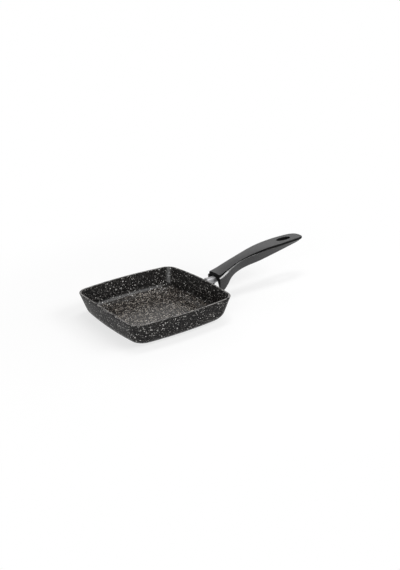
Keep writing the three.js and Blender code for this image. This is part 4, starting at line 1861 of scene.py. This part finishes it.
@dataclass(frozen=True)
class SoftBox:
    """One soft lamp that faces the pan."""

    name: str
    place: tuple[float, float, float]
    width: float
    height: float
    radiance: float

    def build(self) -> None:
        """Makes the lamp."""
        data = bpy.data.lights.new(self.name, "AREA")
        data.shape = "RECTANGLE"
        data.size = self.width
        data.size_y = self.height
        data.energy = math.pi * self.radiance * self.width * self.height
        lamp = link(self.name, data)
        lamp.location = self.place
        lamp.rotation_mode = "QUATERNION"
        lamp.rotation_quaternion = Vector(self.place).to_track_quat("Z", "Y")


@dataclass(frozen=True)
class Studio:
    """White floor, pale horizon, dimmer ceiling and soft lamps."""

    floor_radius: float = 30.0
    floor_drop: float = 0.0001
    floor_steps: int = 96
    floor_colour: Colour = (0.93, 0.93, 0.93)
    shadow_centre: tuple[float, float, float] = (0.08, 0.0, 0.0)
    lit_reach: tuple[float, float] = (0.12, 0.40)  # distances over which the floor turns white
    least_white: float = 0.68  # share of white under the pan
    horizon: float = 1.0
    ceiling: float = 0.2
    horizon_end: tuple[float, float] = (math.sin(math.radians(3.0)), math.sin(math.radians(8.0)))
    lamps: tuple[SoftBox, ...] = (
        SoftBox("top_box", (0.23, 0.02, 1.50), width=0.34, height=0.86, radiance=8.0),
        SoftBox("front_box", (0.86, -0.93, 1.03), width=1.1, height=0.6, radiance=7.5),
        SoftBox("back_box", (0.68, 1.20, 0.80), width=1.4, height=0.8, radiance=0.9),
        SoftBox("left_box", (-1.19, -0.84, 0.37), width=0.9, height=0.45, radiance=11.0),
    )

    def build_world(self) -> None:
        """Makes the pale surroundings, bright at the horizon and dimmer overhead."""
        world = bpy.data.worlds.new("studio")
        bpy.context.scene.world = world
        world.use_nodes = True
        world.node_tree.nodes.clear()
        graph = NodeGraph(world.node_tree)
        direction = graph.add("ShaderNodeTexCoord").outputs["Generated"]
        height = graph.add("ShaderNodeSeparateXYZ", {0: direction}).outputs["Z"]
        level = graph.ramp(height, *self.horizon_end, self.horizon, self.ceiling)
        glow = graph.add("ShaderNodeBackground", {"Color": (1.0, 1.0, 1.0, 1.0), "Strength": level})
        graph.add("ShaderNodeOutputWorld", {"Surface": glow.outputs[0]})

    def floor_finish(self) -> Material:
        """Makes the floor's material: it takes the pan's shadow, turns white further out and is clear below.

        Returns:
            The material.
        """
        graph = ShaderGraph("studio_floor")
        middle = {0: graph.where(), 1: self.shadow_centre}
        away = graph.add("ShaderNodeVectorMath", middle, operation="DISTANCE").outputs["Value"]
        paths = graph.add("ShaderNodeLightPath").outputs
        seen = graph.math("MAXIMUM", paths["Is Camera Ray"], paths["Is Glossy Ray"])
        seen = graph.math("MAXIMUM", seen, paths["Is Transmission Ray"])
        far = graph.ramp(away, *self.lit_reach, self.least_white, 1.0)
        matt = graph.add("ShaderNodeBsdfDiffuse", {"Color": (*self.floor_colour, 1.0)}).outputs[0]
        white = graph.add("ShaderNodeEmission", {"Strength": 1.0}).outputs[0]
        share = graph.math("MULTIPLY", far, seen)
        lit = graph.add("ShaderNodeMixShader", {0: share, 1: matt, 2: white}).outputs[0]
        clear = graph.add("ShaderNodeBsdfTransparent").outputs[0]
        below = graph.add("ShaderNodeNewGeometry").outputs["Backfacing"]
        whole = graph.add("ShaderNodeMixShader", {0: below, 1: lit, 2: clear})
        graph.add("ShaderNodeOutputMaterial", {"Surface": whole.outputs[0]})
        return graph.material

    def build_floor(self) -> None:
        """Makes the floor."""
        angles = np.linspace(0.0, 2.0 * math.pi, self.floor_steps, endpoint=False)
        level = np.full(self.floor_steps, -self.floor_drop)
        across, deep = self.floor_radius * np.cos(angles), self.floor_radius * np.sin(angles)
        mesh = bpy.data.meshes.new("floor")
        mesh.from_pydata(np.stack((across, deep, level), axis=1).tolist(), [], [range(self.floor_steps)])
        mesh.materials.append(self.floor_finish())
        link("floor", mesh)

    def build(self) -> None:
        """Makes the surroundings, the floor and the lamps."""
        bpy.context.scene.view_settings.view_transform = "Standard"
        self.build_world()
        self.build_floor()
        for lamp in self.lamps:
            lamp.build()


def main() -> None:
    """Builds the studio and the pan, piece by piece."""
    logging.basicConfig(level=logging.INFO, format="%(message)s")
    PhotoView().build()
    Studio().build()
    made = {look: look.value.make() for look in Look}

    pan = PanBody()
    dress(pan.build(made[Look.OUTER_COAT], made[Look.INNER_COAT]), "speckled_coating", "pan_body")
    plate, pips = BasePlate(pan).build(made[Look.PLATE_STEEL], made[Look.ALUMINIUM])
    dress(plate, "base_steel", "induction_plate")
    dress(pips, "cast_aluminium", "pan_body")

    form = HandleForm(rim=pan.height)
    bracket = Bracket(pan, form)
    dress(bracket.build_boss(made[Look.ALUMINIUM]), "cast_aluminium", "wall_boss")
    dress(bracket.build_stem(made[Look.BAR_STEEL]), "stem_steel", "bracket_stem")

    fasteners = Fasteners(form, bracket)
    bracket_screws = fasteners.build_bracket_screws(made[Look.SCREW_STEEL])
    dress(bracket_screws, "screw_steel", "bracket_screw_front", "bracket_screw_rear")
    cover_screws = fasteners.build_cover_screws(made[Look.SCREW_STEEL])
    dress(cover_screws, "screw_steel", "cover_screw_front", "cover_screw_rear")
    inserts = fasteners.build_inserts(made[Look.BRASS])
    dress(inserts, "insert_brass", "cover_insert_front", "cover_insert_rear")

    plastics = (made[Look.BODY_PLASTIC], made[Look.EDGE_PLASTIC], made[Look.LEDGE_PLASTIC])
    body = HandleBody(form, bracket, fasteners).build(*plastics)
    dress(body, "body_plastic", "handle_body")
    cover = HandleCover(form, fasteners).build(made[Look.COVER_PLASTIC], made[Look.EDGE_PLASTIC])
    dress(cover, "cover_plastic", "handle_cover")


if __name__ == "__main__":
    main()
